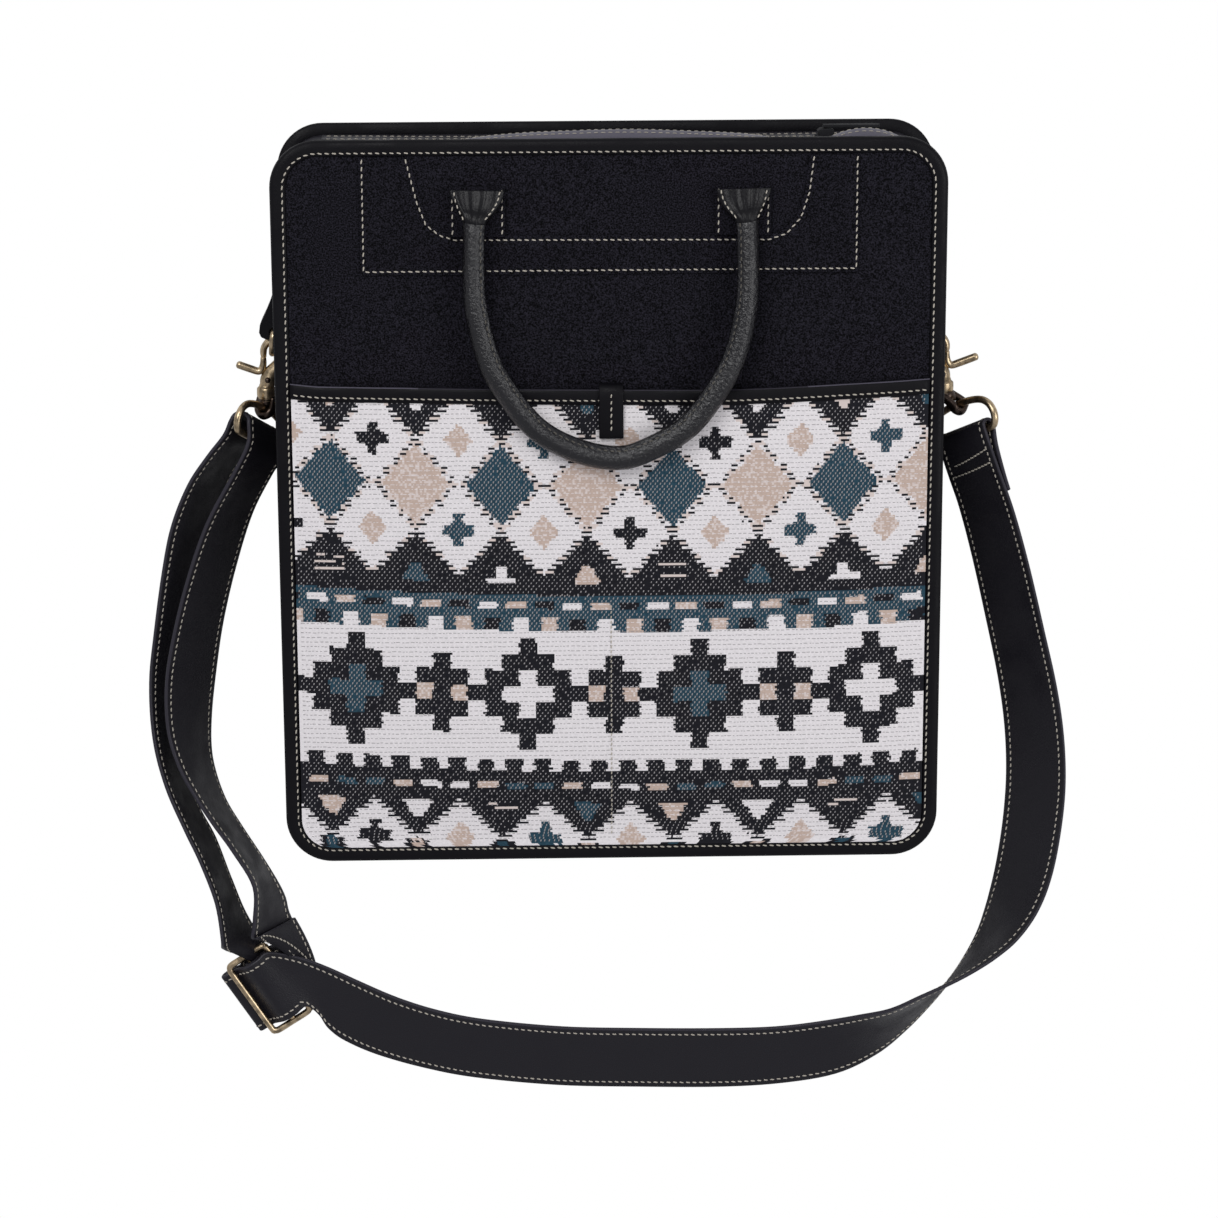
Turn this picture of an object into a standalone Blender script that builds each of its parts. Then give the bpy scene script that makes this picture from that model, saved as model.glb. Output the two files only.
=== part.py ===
"""Laptop bag with a woven front pocket, rolled handles and a clipped shoulder strap.

The bag lies on its back: +X is the wearer's right in the picture, +Y the top, +Z the front.
Lengths below are in millimetres from the middle of the body's back. When a mesh is made they
are turned into metres, counted from the middle of the bottom edge.
"""
import math

import bpy
from mathutils import Vector

MM = 0.001
BAG_W = 342.0
BAG_H = 380.0
BAG_D = 72.0
ORIGIN_Y = 186.0
CORNER_R = 24.0
BIND_W = 8.0
BIND_T = 5.0
GUSSET_IN = 6.0
GUSSET_T = 2.0
PANEL_T = 2.4
GAP = 0.3
DISH = 10.8
DISH_IN = 48.0
STRAP_W = 38.0
STRAP_T = 2.0
ZIP_Z = 36.0
ZIP_TAPE_HALF = 6.0
ZIP_TAB_L = 7.4
ZIP_REST = 27.0
MOUTH_Y = 57.0
POCKET_BULGE = 5.2
POCKET_T = 1.4
SLEEVE_T = 4.0
SLEEVE_Z = 41.0
SLEEVE_NARROW = 42.0
SLEEVE_SHORT = 64.0
BACK_IN = 14.0
YOKE_HALF = 126.0
YOKE_H = 59.8
LAID_W = 342.0
LAID_H = 380.0
SPREAD = (BAG_W - LAID_W) / 2
RISE = (BAG_H - LAID_H) / 2
SLIDER_C = (-186.0 - SPREAD, -283.0 - RISE)
SLIDER_U = (0.545, -0.839)
SLIDER_S = (0.839, 0.545)
BAR_Z = 9.2
LAYER_LIFT = 0.4
BAR_R = 1.8
BAR_A = -13.0
BAR_C = 11.0
EYE_HALF = 3.9

# Strap rings: middle of the straight bar, direction along it to the back, direction to the eye.
RING_LEFT = ((-183.3, 30.7, 40.9), (0.381, -0.425, -0.821), (0.279, 0.899, -0.336))
RING_RIGHT = ((187.1, 29.9, 42.3), (-0.533, -0.404, -0.743), (-0.308, 0.911, -0.274))
RING_PROFILE = [(0, 0), (-10, 0), (-19, 0), (-21.8, 1.2), (-23.6, 4), (-24, 7.5), (-22.6, 11.5), (-18.5, 14.8)]
RING_PROFILE += [(-11, 16.6), (0, 17.2), (11, 16.6), (18.5, 14.8), (22.6, 11.5), (24, 7.5), (23.6, 4)]
RING_PROFILE += [(21.8, 1.2), (19, 0), (10, 0)]

# LAID_W and LAID_H are the bag's size for which the hardware's and strap's points were laid
# out. SPREAD and RISE carry those points along with the bag's sides, top and bottom.
POCKET_X = BAG_W / 2 - BIND_W - 0.4
POCKET_LOW = -BAG_H / 2 + BIND_W + 0.4
TOP_HALF = BAG_W / 2 - CORNER_R - GAP
ZIP_HALF = TOP_HALF - ZIP_TAB_L - GAP

COLLECTION = "laptop_bag"
CUTTERS = "laptop_bag_cutters"

COLOURS = {
    "leather_black": ((0.012, 0.012, 0.015), 0.42, 0.0),
    "suede_black": ((0.006, 0.006, 0.009), 0.9, 0.0),
    "yarn_cream": ((0.76, 0.72, 0.68), 0.9, 0.0),
    "yarn_black": ((0.010, 0.010, 0.014), 0.9, 0.0),
    "yarn_teal": ((0.020, 0.060, 0.105), 0.9, 0.0),
    "yarn_beige": ((0.47, 0.38, 0.30), 0.9, 0.0),
    "brass_antique": ((0.32, 0.24, 0.13), 0.32, 1.0),
    "metal_dark": ((0.04, 0.036, 0.032), 0.35, 1.0),
    "zip_tape": ((0.010, 0.010, 0.012), 0.85, 0.0),
    "zip_teeth": ((0.02, 0.02, 0.022), 0.4, 0.0),
    "lining_cloth": ((0.10, 0.095, 0.09), 0.9, 0.0),
    "board": ((0.03, 0.03, 0.03), 0.7, 0.0),
}


def clear_scene():
    for ob in list(bpy.data.objects):
        bpy.data.objects.remove(ob, do_unlink=True)


def make_collections():
    scene = bpy.context.scene
    for name in (COLLECTION, CUTTERS):
        col = bpy.data.collections.new(name)
        scene.collection.children.link(col)
    bpy.data.collections[CUTTERS].hide_render = True


def material(name):
    mat = bpy.data.materials.get(name)
    if mat:
        return mat
    colour, rough, metal = COLOURS[name]
    mat = bpy.data.materials.new(name)
    mat.use_nodes = True
    mat.diffuse_color = colour + (1.0,)
    shader = mat.node_tree.nodes["Principled BSDF"]
    shader.inputs["Base Color"].default_value = colour + (1.0,)
    shader.inputs["Roughness"].default_value = rough
    shader.inputs["Metallic"].default_value = metal
    return mat


def add_mesh(name, verts, faces, mats, index=None, smooth=False):
    mesh = bpy.data.meshes.new(name)
    mesh.from_pydata([(x * MM, (y + ORIGIN_Y) * MM, z * MM) for x, y, z in verts], [], faces)
    for m in mats:
        mesh.materials.append(material(m))
    if index:
        for poly, i in zip(mesh.polygons, index):
            poly.material_index = i
    for poly in mesh.polygons:
        poly.use_smooth = smooth
    mesh.update()
    ob = bpy.data.objects.new(name, mesh)
    bpy.data.collections[COLLECTION].objects.link(ob)
    return ob


def face_outward(verts, faces):
    """Turn every face over when the closed mesh measures a negative volume."""
    total = 0.0
    for f in faces:
        a = Vector(verts[f[0]])
        for i in range(1, len(f) - 1):
            total += a.dot(Vector(verts[f[i]]).cross(Vector(verts[f[i + 1]])))
    if total < 0:
        return [tuple(reversed(f)) for f in faces]
    return faces


def loft(name, rings, mats, closed=False, smooth=False):
    """Skin equal rings of points, joined end to end or capped at both ends."""
    n = len(rings[0])
    verts = [p for ring in rings for p in ring]
    faces = []
    last = len(rings) if closed else len(rings) - 1
    for i in range(last):
        a = i * n
        b = ((i + 1) % len(rings)) * n
        for j in range(n):
            k = (j + 1) % n
            faces.append((a + j, a + k, b + k, b + j))
    if not closed:
        faces.append(tuple(reversed(range(n))))
        faces.append(tuple(range((len(rings) - 1) * n, len(rings) * n)))
    return add_mesh(name, verts, face_outward(verts, faces), mats, smooth=smooth)


def outline(inset, width=BAG_W, height=BAG_H, radius=CORNER_R, arc=6):
    """Rounded rectangle from the left end of its top edge, down the left side and round."""
    hw = width / 2 - inset
    hh = height / 2 - inset
    r = max(radius - inset, 3.0)
    pts = []
    for cx, cy, start in ((-1, 1, 90), (-1, -1, 180), (1, -1, 270), (1, 1, 360)):
        for k in range(arc + 1):
            a = math.radians(start + 90.0 * k / arc)
            pts.append((cx * (hw - r) + r * math.cos(a), cy * (hh - r) + r * math.sin(a)))
    return pts


def ring_from_sections(name, section, mats, closed=True, size=None):
    """Sweep a section given as (inset, z) pairs round the bag's outline."""
    args = size or {}
    outlines = [outline(i, **args) for i, z in section]
    rings = []
    for j in range(len(outlines[0])):
        rings.append([outlines[k][j] + (section[k][1],) for k in range(len(section))])
    return loft(name, rings, mats, closed=closed)


def box(name, lo, hi, mats):
    rings = []
    for z in (lo[2], hi[2]):
        rings.append([(lo[0], lo[1], z), (hi[0], lo[1], z), (hi[0], hi[1], z), (lo[0], hi[1], z)])
    return loft(name, rings, mats)


def prism(name, pts, z0, z1, mats):
    rings = [[(x, y, z0) for x, y in pts], [(x, y, z1) for x, y in pts]]
    return loft(name, rings, mats)


def spline(points, steps):
    """Catmull-Rom through lists of equal-length tuples."""
    out = []
    n = len(points)
    for i in range(n - 1):
        p0 = points[max(i - 1, 0)]
        p1 = points[i]
        p2 = points[i + 1]
        p3 = points[min(i + 2, n - 1)]
        for k in range(steps):
            t = k / steps
            vals = []
            for a, b, c, d in zip(p0, p1, p2, p3):
                v = 2 * b + (c - a) * t + (2 * a - 5 * b + 4 * c - d) * t * t
                v += (3 * b - a - 3 * c + d) * t * t * t
                vals.append(0.5 * v)
            out.append(tuple(vals))
    out.append(tuple(points[-1]))
    return out


def tube(name, path, sides, mats, closed=False, up=(0, 0, 1), smooth=True):
    """Sweep an ellipse: path holds (x, y, z, half width, half height)."""
    n = len(path)
    rings = []
    ref = Vector(up)
    for i in range(n):
        a = Vector(path[(i - 1) % n][:3] if closed or i else path[0][:3])
        b = Vector(path[(i + 1) % n][:3] if closed or i < n - 1 else path[-1][:3])
        t = (b - a).normalized()
        side = t.cross(ref).normalized()
        top = side.cross(t).normalized()
        c = Vector(path[i][:3])
        ring = []
        for k in range(sides):
            ang = 2 * math.pi * k / sides
            p = c + side * (path[i][3] * math.cos(ang)) + top * (path[i][4] * math.sin(ang))
            ring.append(tuple(p))
        rings.append(ring)
    return loft(name, rings, mats, closed=closed, smooth=smooth)


def ribbon(name, stations, width, thick, mats, steps=1):
    """Flat strap: each station is x, y, z and the direction across its width."""
    pts = spline(stations, steps) if steps > 1 else stations
    n = len(pts)
    rings = []
    for i in range(n):
        a = Vector(pts[max(i - 1, 0)][:3])
        b = Vector(pts[min(i + 1, n - 1)][:3])
        t = (b - a).normalized()
        w = Vector(pts[i][3:6]).normalized()
        nrm = t.cross(w).normalized()
        c = Vector(pts[i][:3])
        hw = w * (width / 2)
        ht = nrm * (thick / 2)
        rings.append([tuple(c - hw - ht), tuple(c + hw - ht), tuple(c + hw + ht), tuple(c - hw + ht)])
    return loft(name, rings, mats)


def smoothstep(t):
    t = min(max(t, 0.0), 1.0)
    return t * t * (3 - 2 * t)


def back_z(inset):
    """Height of the back panel's outer face at a distance in from the bag's edge."""
    return 3.0 + DISH * smoothstep((inset - BIND_W) / (DISH_IN - BIND_W - 2.0))


def build_bindings():
    top = BAG_D
    low = top - BIND_T
    section = [(0, top - 2.4), (0.8, top - 0.5), (2.4, top), (BIND_W - 1.0, top), (BIND_W, top - 1.0)]
    section += [(BIND_W, low + 0.6), (BIND_W - 0.8, low), (0.8, low)]
    ring_from_sections("front_binding", section, ["leather_black"])
    back = [(i, BAG_D - z) for i, z in section]
    ring_from_sections("back_binding", back, ["leather_black"])


def build_panels():
    pts = outline(BIND_W + GAP)
    prism("front_panel", pts, BAG_D - 1.4 - PANEL_T, BAG_D - 1.4, ["suede_black"])
    insets = [DISH_IN + 22.0, DISH_IN, 40.0, 32.0, 24.0, 16.0, BIND_W + GAP]
    rings = [[p + (back_z(i),) for p in outline(i)] for i in insets]
    rings += [[p + (back_z(i) + PANEL_T,) for p in outline(i)] for i in reversed(insets)]
    loft("back_panel", rings, ["suede_black"])


def build_gusset():
    i0 = GUSSET_IN
    i1 = GUSSET_IN + GUSSET_T
    z0 = BIND_T + GAP
    z1 = BAG_D - BIND_T - GAP
    section = [(i0, z0), (i0, z1), (i1, z1), (i1, z0)]
    ring_from_sections("side_bottom_gusset", section, ["leather_black"], closed=False)
    lining = [(8.6, z0 + 1), (8.6, z1), (9.4, z1), (9.4, z0 + 1)]
    ring_from_sections("lining", lining, ["lining_cloth"], closed=False)
    y1 = BAG_H / 2 - i0
    y0 = y1 - GUSSET_T
    half = ZIP_TAPE_HALF + GAP
    box("top_gusset_front", (-TOP_HALF, y0, ZIP_Z + half), (TOP_HALF, y1, z1), ["leather_black"])
    box("top_gusset_back", (-TOP_HALF, y0, z0), (TOP_HALF, y1, ZIP_Z - half), ["leather_black"])


def build_zip():
    y1 = BAG_H / 2 - GUSSET_IN
    hz = ZIP_HALF
    lo = ZIP_Z - ZIP_TAPE_HALF
    hi = ZIP_Z + ZIP_TAPE_HALF
    box("zip_tape_front", (-hz, y1 - 1.6, ZIP_Z + 2.1), (hz, y1 - 0.5, hi), ["zip_tape"])
    box("zip_tape_back", (-hz, y1 - 1.6, lo), (hz, y1 - 0.5, ZIP_Z - 2.1), ["zip_tape"])
    rings = []
    pitch = 2.5
    count = int(2 * hz / pitch)
    for i in range(count):
        x = -hz + pitch * i
        for dx, top in ((0.0, 0.7), (0.4, 0.9), (1.5, 0.9), (1.9, 0.7)):
            y = y1 - 1.3 + top
            low = y1 - 1.9
            z = ZIP_Z
            rings.append([(x + dx, low, z - 1.8), (x + dx, y, z - 1.6), (x + dx, y, z + 1.6), (x + dx, low, z + 1.8)])
    loft("zip_coil", rings, ["zip_teeth"])
    for side, name in ((-1, "zip_end_tab_left"), (1, "zip_end_tab_right")):
        a = side * (hz + GAP)
        b = side * TOP_HALF
        box(name, (min(a, b), y1 - 1.9, lo), (max(a, b), y1 + 1.2, hi), ["leather_black"])
    sx = hz - ZIP_REST
    y = y1 + 0.3
    prof = [(sx - 6, y), (sx + 6, y), (sx + 6, y + 2.2), (sx + 3.6, y + 2.2), (sx + 3.6, y + 4.6)]
    prof += [(sx + 1.2, y + 5.4), (sx - 3.4, y + 5.4), (sx - 5, y + 4.2), (sx - 4.2, y + 2.2), (sx - 6, y + 2.2)]
    prism("zip_slider", prof, ZIP_Z - 4.4, ZIP_Z + 4.4, ["metal_dark"])
    py = y + 6.6
    px = sx - 2.0
    outer = [(px, -2.6), (px + 26, -3.6), (px + 29, -2.0), (px + 29, 2.0), (px + 26, 3.6), (px, 2.6)]
    rings = [[(x, py + e, ZIP_Z + z) for x, z in outer] for e in (-0.8, 0.8)]
    loft("zip_puller", rings, ["metal_dark"])


def pocket_top(x, y):
    """Outer face of the woven pocket."""
    across = 1.0 - min(abs(x) / POCKET_X, 1.0) ** 4
    along = smoothstep((y - POCKET_LOW) / 55.0)
    return BAG_D + 0.5 + POCKET_BULGE * across * along


def pocket_half(y):
    """Half width of the woven pocket, drawn in round the binding's lower corners."""
    r = CORNER_R - BIND_W
    low = max(CORNER_R - BAG_H / 2 - y, 0.0)
    return POCKET_X - (r - math.sqrt(r * r - low * low))


def yarn(col, row):
    """Yarn of one cell of the weave, counted from the left edge and from the mouth down.

    0 cream, 1 black, 2 teal, 3 beige. One repeat is twenty cells wide.
    """
    c = col % 20
    if row < 12:
        u = abs((c % 10) - 4.5)
        v = abs(row - 5.5)
        if u / 5.0 + v / 6.0 <= 0.55:
            return 2 if c < 10 else 3
        if abs(u / 5.0 + v / 6.0 - 1.0) < 0.12:
            return 1 if (col + row) % 2 else 0
        if v > 4.6:
            return 1
        return 0
    if row < 13:
        return 1
    if row < 17:
        return 2
    if row < 25:
        a = abs(c % 20 - 4.5)
        b = abs(c % 20 - 14.5)
        v = abs(row - 20.5)
        if v < 1 and (c % 2):
            return 1
        if a + v < 4.6:
            return 2 if a + v < 1.6 else 1
        if b + v < 3.4:
            return 3 if b + v < 1.2 else 1
        return 0
    if row < 27:
        return 1
    return 1 if (c % 10) < 5 - (row - 27) * 1.5 else 0


def build_pocket():
    nx = 38
    ny = 29
    x0 = -POCKET_X
    dx = 2 * POCKET_X / nx
    y1 = MOUTH_Y - 0.6
    dy = (y1 - POCKET_LOW) / ny
    verts = []
    for layer in (0.0, -POCKET_T):
        for j in range(ny + 1):
            for i in range(nx + 1):
                x = x0 + dx * i
                sag = 2.6 * (1 - (x / POCKET_X) ** 2) * smoothstep((ny - j) / 14.0)
                y = y1 - dy * j - sag
                verts.append((x * pocket_half(y) / POCKET_X, y, pocket_top(x, y) + layer))
    faces = []
    index = []
    n = (nx + 1) * (ny + 1)
    for j in range(ny):
        for i in range(nx):
            a = j * (nx + 1) + i
            faces.append((a, a + nx + 1, a + nx + 2, a + 1))
            index.append(yarn(i, j))
            faces.append((n + a, n + a + 1, n + a + nx + 2, n + a + nx + 1))
            index.append(1)
    for i in range(nx):
        b = ny * (nx + 1) + i
        faces.append((i, i + 1, n + i + 1, n + i))
        faces.append((b, n + b, n + b + 1, b + 1))
        index += [1, 1]
    for j in range(ny):
        a = j * (nx + 1)
        b = a + nx
        faces.append((a, n + a, n + a + nx + 1, a + nx + 1))
        faces.append((b, b + nx + 1, n + b + nx + 1, n + b))
        index += [1, 1]
    mats = ["yarn_cream", "yarn_black", "yarn_teal", "yarn_beige"]
    add_mesh("pocket_fabric", verts, face_outward(verts, faces), mats, index)
    rings = []
    for k in range(41):
        x = -POCKET_X + 2 * POCKET_X * k / 40
        sag = 2.6 * (1 - (x / POCKET_X) ** 2)
        y = MOUTH_Y - sag
        z = pocket_top(x, y)
        prof = [(0, -1.6), (0, 0.7), (1.6, 1.2), (6.4, 1.2), (7.4, 0.4), (7.4, -0.8), (6.4, -1.6)]
        rings.append([(x, y + a, z + b) for a, b in prof])
    loft("pocket_binding", rings, ["leather_black"])
    over = BAG_D + 2.5 + POCKET_BULGE
    under = BAG_D + 1.2
    path = [(-17, under + 0.3), (-5, under), (3, under), (7.2, under + 0.2), (8.6, (under + over) / 2)]
    path += [(7.0, over - 0.2), (3, over + 0.5), (-3, over + 0.2), (-9, over - 0.2), (-14, over - 0.5)]
    path += [(-19, over - 0.7)]
    stations = [(0.2, MOUTH_Y + y, z, 1, 0, 0) for y, z in path]
    ribbon("pocket_tab", stations, 12.4, 1.4, ["leather_black"], steps=2)


def build_yoke():
    top = BAG_H / 2 - BIND_W - 0.8
    low = top - YOKE_H
    cut = [(-100.4, 0), (-94.8, -22.9), (-90.5, -33.5), (-84.0, -38.0), (-78.0, -39.7)]
    cut += [(80.4, -40.2), (88.0, -37.6), (94.5, -30.5), (98.6, -18.2), (100.8, 0)]
    pts = [(-YOKE_HALF, top), (-YOKE_HALF, low), (YOKE_HALF, low), (YOKE_HALF, top)]
    pts += [(x, top + y) for x, y in reversed(cut)]
    prism("front_yoke", pts, BAG_D - 1.1, BAG_D - 0.2, ["leather_black"])


def handle_path():
    """Centre line and half sizes of a rolled handle, from its left fold to its right one."""
    half = [(-66.7, 165.0, 0.0, 13.4, 1.5), (-67.2, 160.5, 0.5, 11.6, 2.1), (-68.0, 154.0, 1.6, 8.6, 3.4)]
    half += [(-68.6, 147.5, 3.0, 6.0, 4.4), (-68.8, 139.0, 4.2, 5.3, 5.3), (-69.0, 125.0, 5.8, 5.5, 5.5)]
    half += [(-68.3, 107.8, 7.8, 5.7, 5.7), (-63.6, 85.5, 9.4, 5.9, 5.9), (-56.5, 69.5, 10.3, 6.0, 6.0)]
    half += [(-39.5, 46.5, 10.4, 6.1, 6.1), (-19.0, 34.0, 10.2, 6.2, 6.2)]
    mid = [(3.0, 29.4, 10.2, 6.2, 6.2)]
    other = [(-x + 0.6, y, z, a, b) for x, y, z, a, b in reversed(half)]
    pts = [(x, y + RISE, z, a, b) for x, y, z, a, b in half + mid + other]
    return spline(pts, 3)


def build_handles():
    front = [(x, y, BAG_D + 4.0 + z, a, b) for x, y, z, a, b in handle_path()]
    tube("front_handle", front, 12, ["leather_black"])
    back = []
    for x, y, z, a, b in handle_path():
        drop = max(2.2, b + 0.35)
        back.append((x, y, drop, a, b))
    tube("back_handle", back, 12, ["leather_black"])
    for name, x0, x1 in (("front_chape_left", -80.8, -52.6), ("front_chape_right", 53.2, 81.4)):
        box(name, (x0, 141.0 + RISE, BAG_D + 0.1), (x1, 166.6 + RISE, BAG_D + 2.0), ["leather_black"])
        rings = []
        for y, z in ((165.0 + RISE, 5.2), (143.5 + RISE, 11.2)):
            rings.append([(x0, y, z), (x1, y, z), (x1, y, z + 1.5), (x0, y, z + 1.5)])
        loft(name.replace("front", "back"), rings, ["leather_black"])


def build_side(side):
    """Chape, D-ring, snap hook, gate, eye and strap ring at one side."""
    tag = "left" if side < 0 else "right"
    path = [(166.6, 112), (166.6, 100), (167.2, 93.5), (168.6, 88.6), (170.0, 85.6), (172.3, 84.7)]
    path += [(174.6, 85.7), (175.6, 88.0), (175.0, 91.2), (172.2, 96.0), (169.6, 101), (169.0, 111)]
    stations = [(side * (x + SPREAD), y + RISE, ZIP_Z, 0, 0, 1) for x, y in path]
    ribbon("side_chape_" + tag, stations, 20.0, 1.6, ["leather_black"], steps=2)
    bar = Vector((side * (172.3 + SPREAD), 88.0 + RISE, ZIP_Z))
    out = Vector((side * 0.12, -0.99, 0)).normalized()
    pts = [(bar + Vector((0, 0, -12.6))), (bar + Vector((0, 0, 0))), (bar + Vector((0, 0, 12.6)))]
    for k in range(1, 12):
        a = math.pi * k / 12
        pts.append(bar + Vector((0, 0, 14.0 * math.cos(a))) + out * (12.5 * math.sin(a) ** 0.8))
    up = Vector((0, 0, 1)).cross(out)
    tube("d_ring_" + tag, [tuple(p) + (1.8, 1.8) for p in pts], 10, ["brass_antique"], closed=True, up=up)
    cx = 177.6 + SPREAD
    cy = 75.6 + RISE
    ex = cx - 3.8
    hook = []
    for deg, r in ((196, 1.5), (182, 1.9), (155, 2.1), (120, 2.2), (90, 2.2), (60, 2.2), (30, 2.2), (0, 2.2)):
        a = math.radians(180 - deg)
        hook.append((side * (ex + 5.0 * math.cos(a)), cy + 6.3 * math.sin(a), ZIP_Z, r, r))
    neck = [(-8.2, -3.4, 2.5, 2.6), (-5.8, -7.0, 3.3, 3.2), (-3.2, -10.6, 4.2, 3.8), (-1.4, -14.2, 4.5, 4.4)]
    neck += [(-0.2, -18.4, 3.6, 3.6), (0, -20.0, 4.4, 4.4), (0, -23.2, 4.4, 4.4)]
    hook += [(side * (cx + x), cy + y, ZIP_Z, a, b) for x, y, a, b in neck]
    tube("hook_body_" + tag, hook, 12, ["brass_antique"])
    gate = [(5.0, -2.6, 1.2), (5.1, -5.6, 1.3), (5.6, -8.2, 1.4), (7.4, -9.6, 1.6), (11.4, -8.4, 1.9), (18.0, -6.2, 2.0)]
    lever = [(side * (ex + x), cy + y, ZIP_Z, r, 1.9) for x, y, r in gate]
    tube("hook_gate_" + tag, lever, 10, ["brass_antique"])
    centre, w, e, n = strap_ring(side)
    path = [centre + w * x + e * y for x, y in RING_PROFILE]
    tube("swivel_loop_" + tag, [tuple(p) + (1.9, 1.9) for p in path], 10, ["brass_antique"], closed=True, up=n)
    wire = centre + e * RING_PROFILE[9][1]
    top = Vector((side * cx, cy - 24.1, ZIP_Z))
    level = Vector((n.x, 0, n.z)).normalized()
    eye = []
    for f, h, lift in ((1.0, 0.9, 1), (1.0, 0.1, 0), (0.75, -0.55, 0), (0.0, -1.0, 0), (-0.75, -0.55, 0), (-1.0, 0.1, 0), (-1.0, 0.9, 1)):
        if lift:
            p = top + level * (EYE_HALF * f)
        else:
            p = wire + n * (EYE_HALF * f) + e * (3.9 * h)
        eye.append(tuple(p) + (1.5, 1.5))
    tube("swivel_stud_" + tag, spline(eye, 3), 12, ["metal_dark"], up=w)


def strap_ring(side):
    """Centre of the strap ring's bar, its directions along the bar and to the eye, and its normal."""
    x, y, z = RING_LEFT[0] if side < 0 else RING_RIGHT[0]
    centre = Vector((x + side * SPREAD, y + RISE, z))
    w = Vector(RING_LEFT[1] if side < 0 else RING_RIGHT[1]).normalized()
    e = Vector(RING_LEFT[2] if side < 0 else RING_RIGHT[2])
    e = (e - w * e.dot(w)).normalized()
    return centre, w, e, w.cross(e)


def at_slider(s, z):
    """Station on the strap where it crosses the slider, as laid out."""
    x = SLIDER_C[0] + SPREAD + SLIDER_S[0] * s
    y = SLIDER_C[1] + RISE + SLIDER_S[1] * s
    lift = LAYER_LIFT if z > 3.0 else 0.0
    return (x, y, z + lift, SLIDER_U[0], SLIDER_U[1], 0.0)


def fold(side, slide, rise, radius, shift):
    """Stations of the strap's turn round the bar of a ring, from its front to its back."""
    centre, w, e, n = strap_ring(side)
    centre = centre - Vector((side * SPREAD, RISE, 0)) + w * slide + e * rise
    front = n if n.z > 0 else -n
    centre = centre + front * shift
    out = []
    for deg in (0, 45, 90, 135, 180):
        a = math.radians(deg)
        p = centre + front * (radius * math.cos(a)) + e * (radius * math.sin(a))
        out.append(tuple(p) + tuple(w))
    return out


def follow(station):
    """Carry a laid-out strap station along with the bag's sides, top and bottom."""
    x, y = station[:2]
    x += SPREAD * max(min(x / 165.0, 1.0), -1.0)
    y += RISE * max(min((y + 120.0) / 120.0, 1.0), -1.0)
    return (x, y) + tuple(station[2:])


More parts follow.
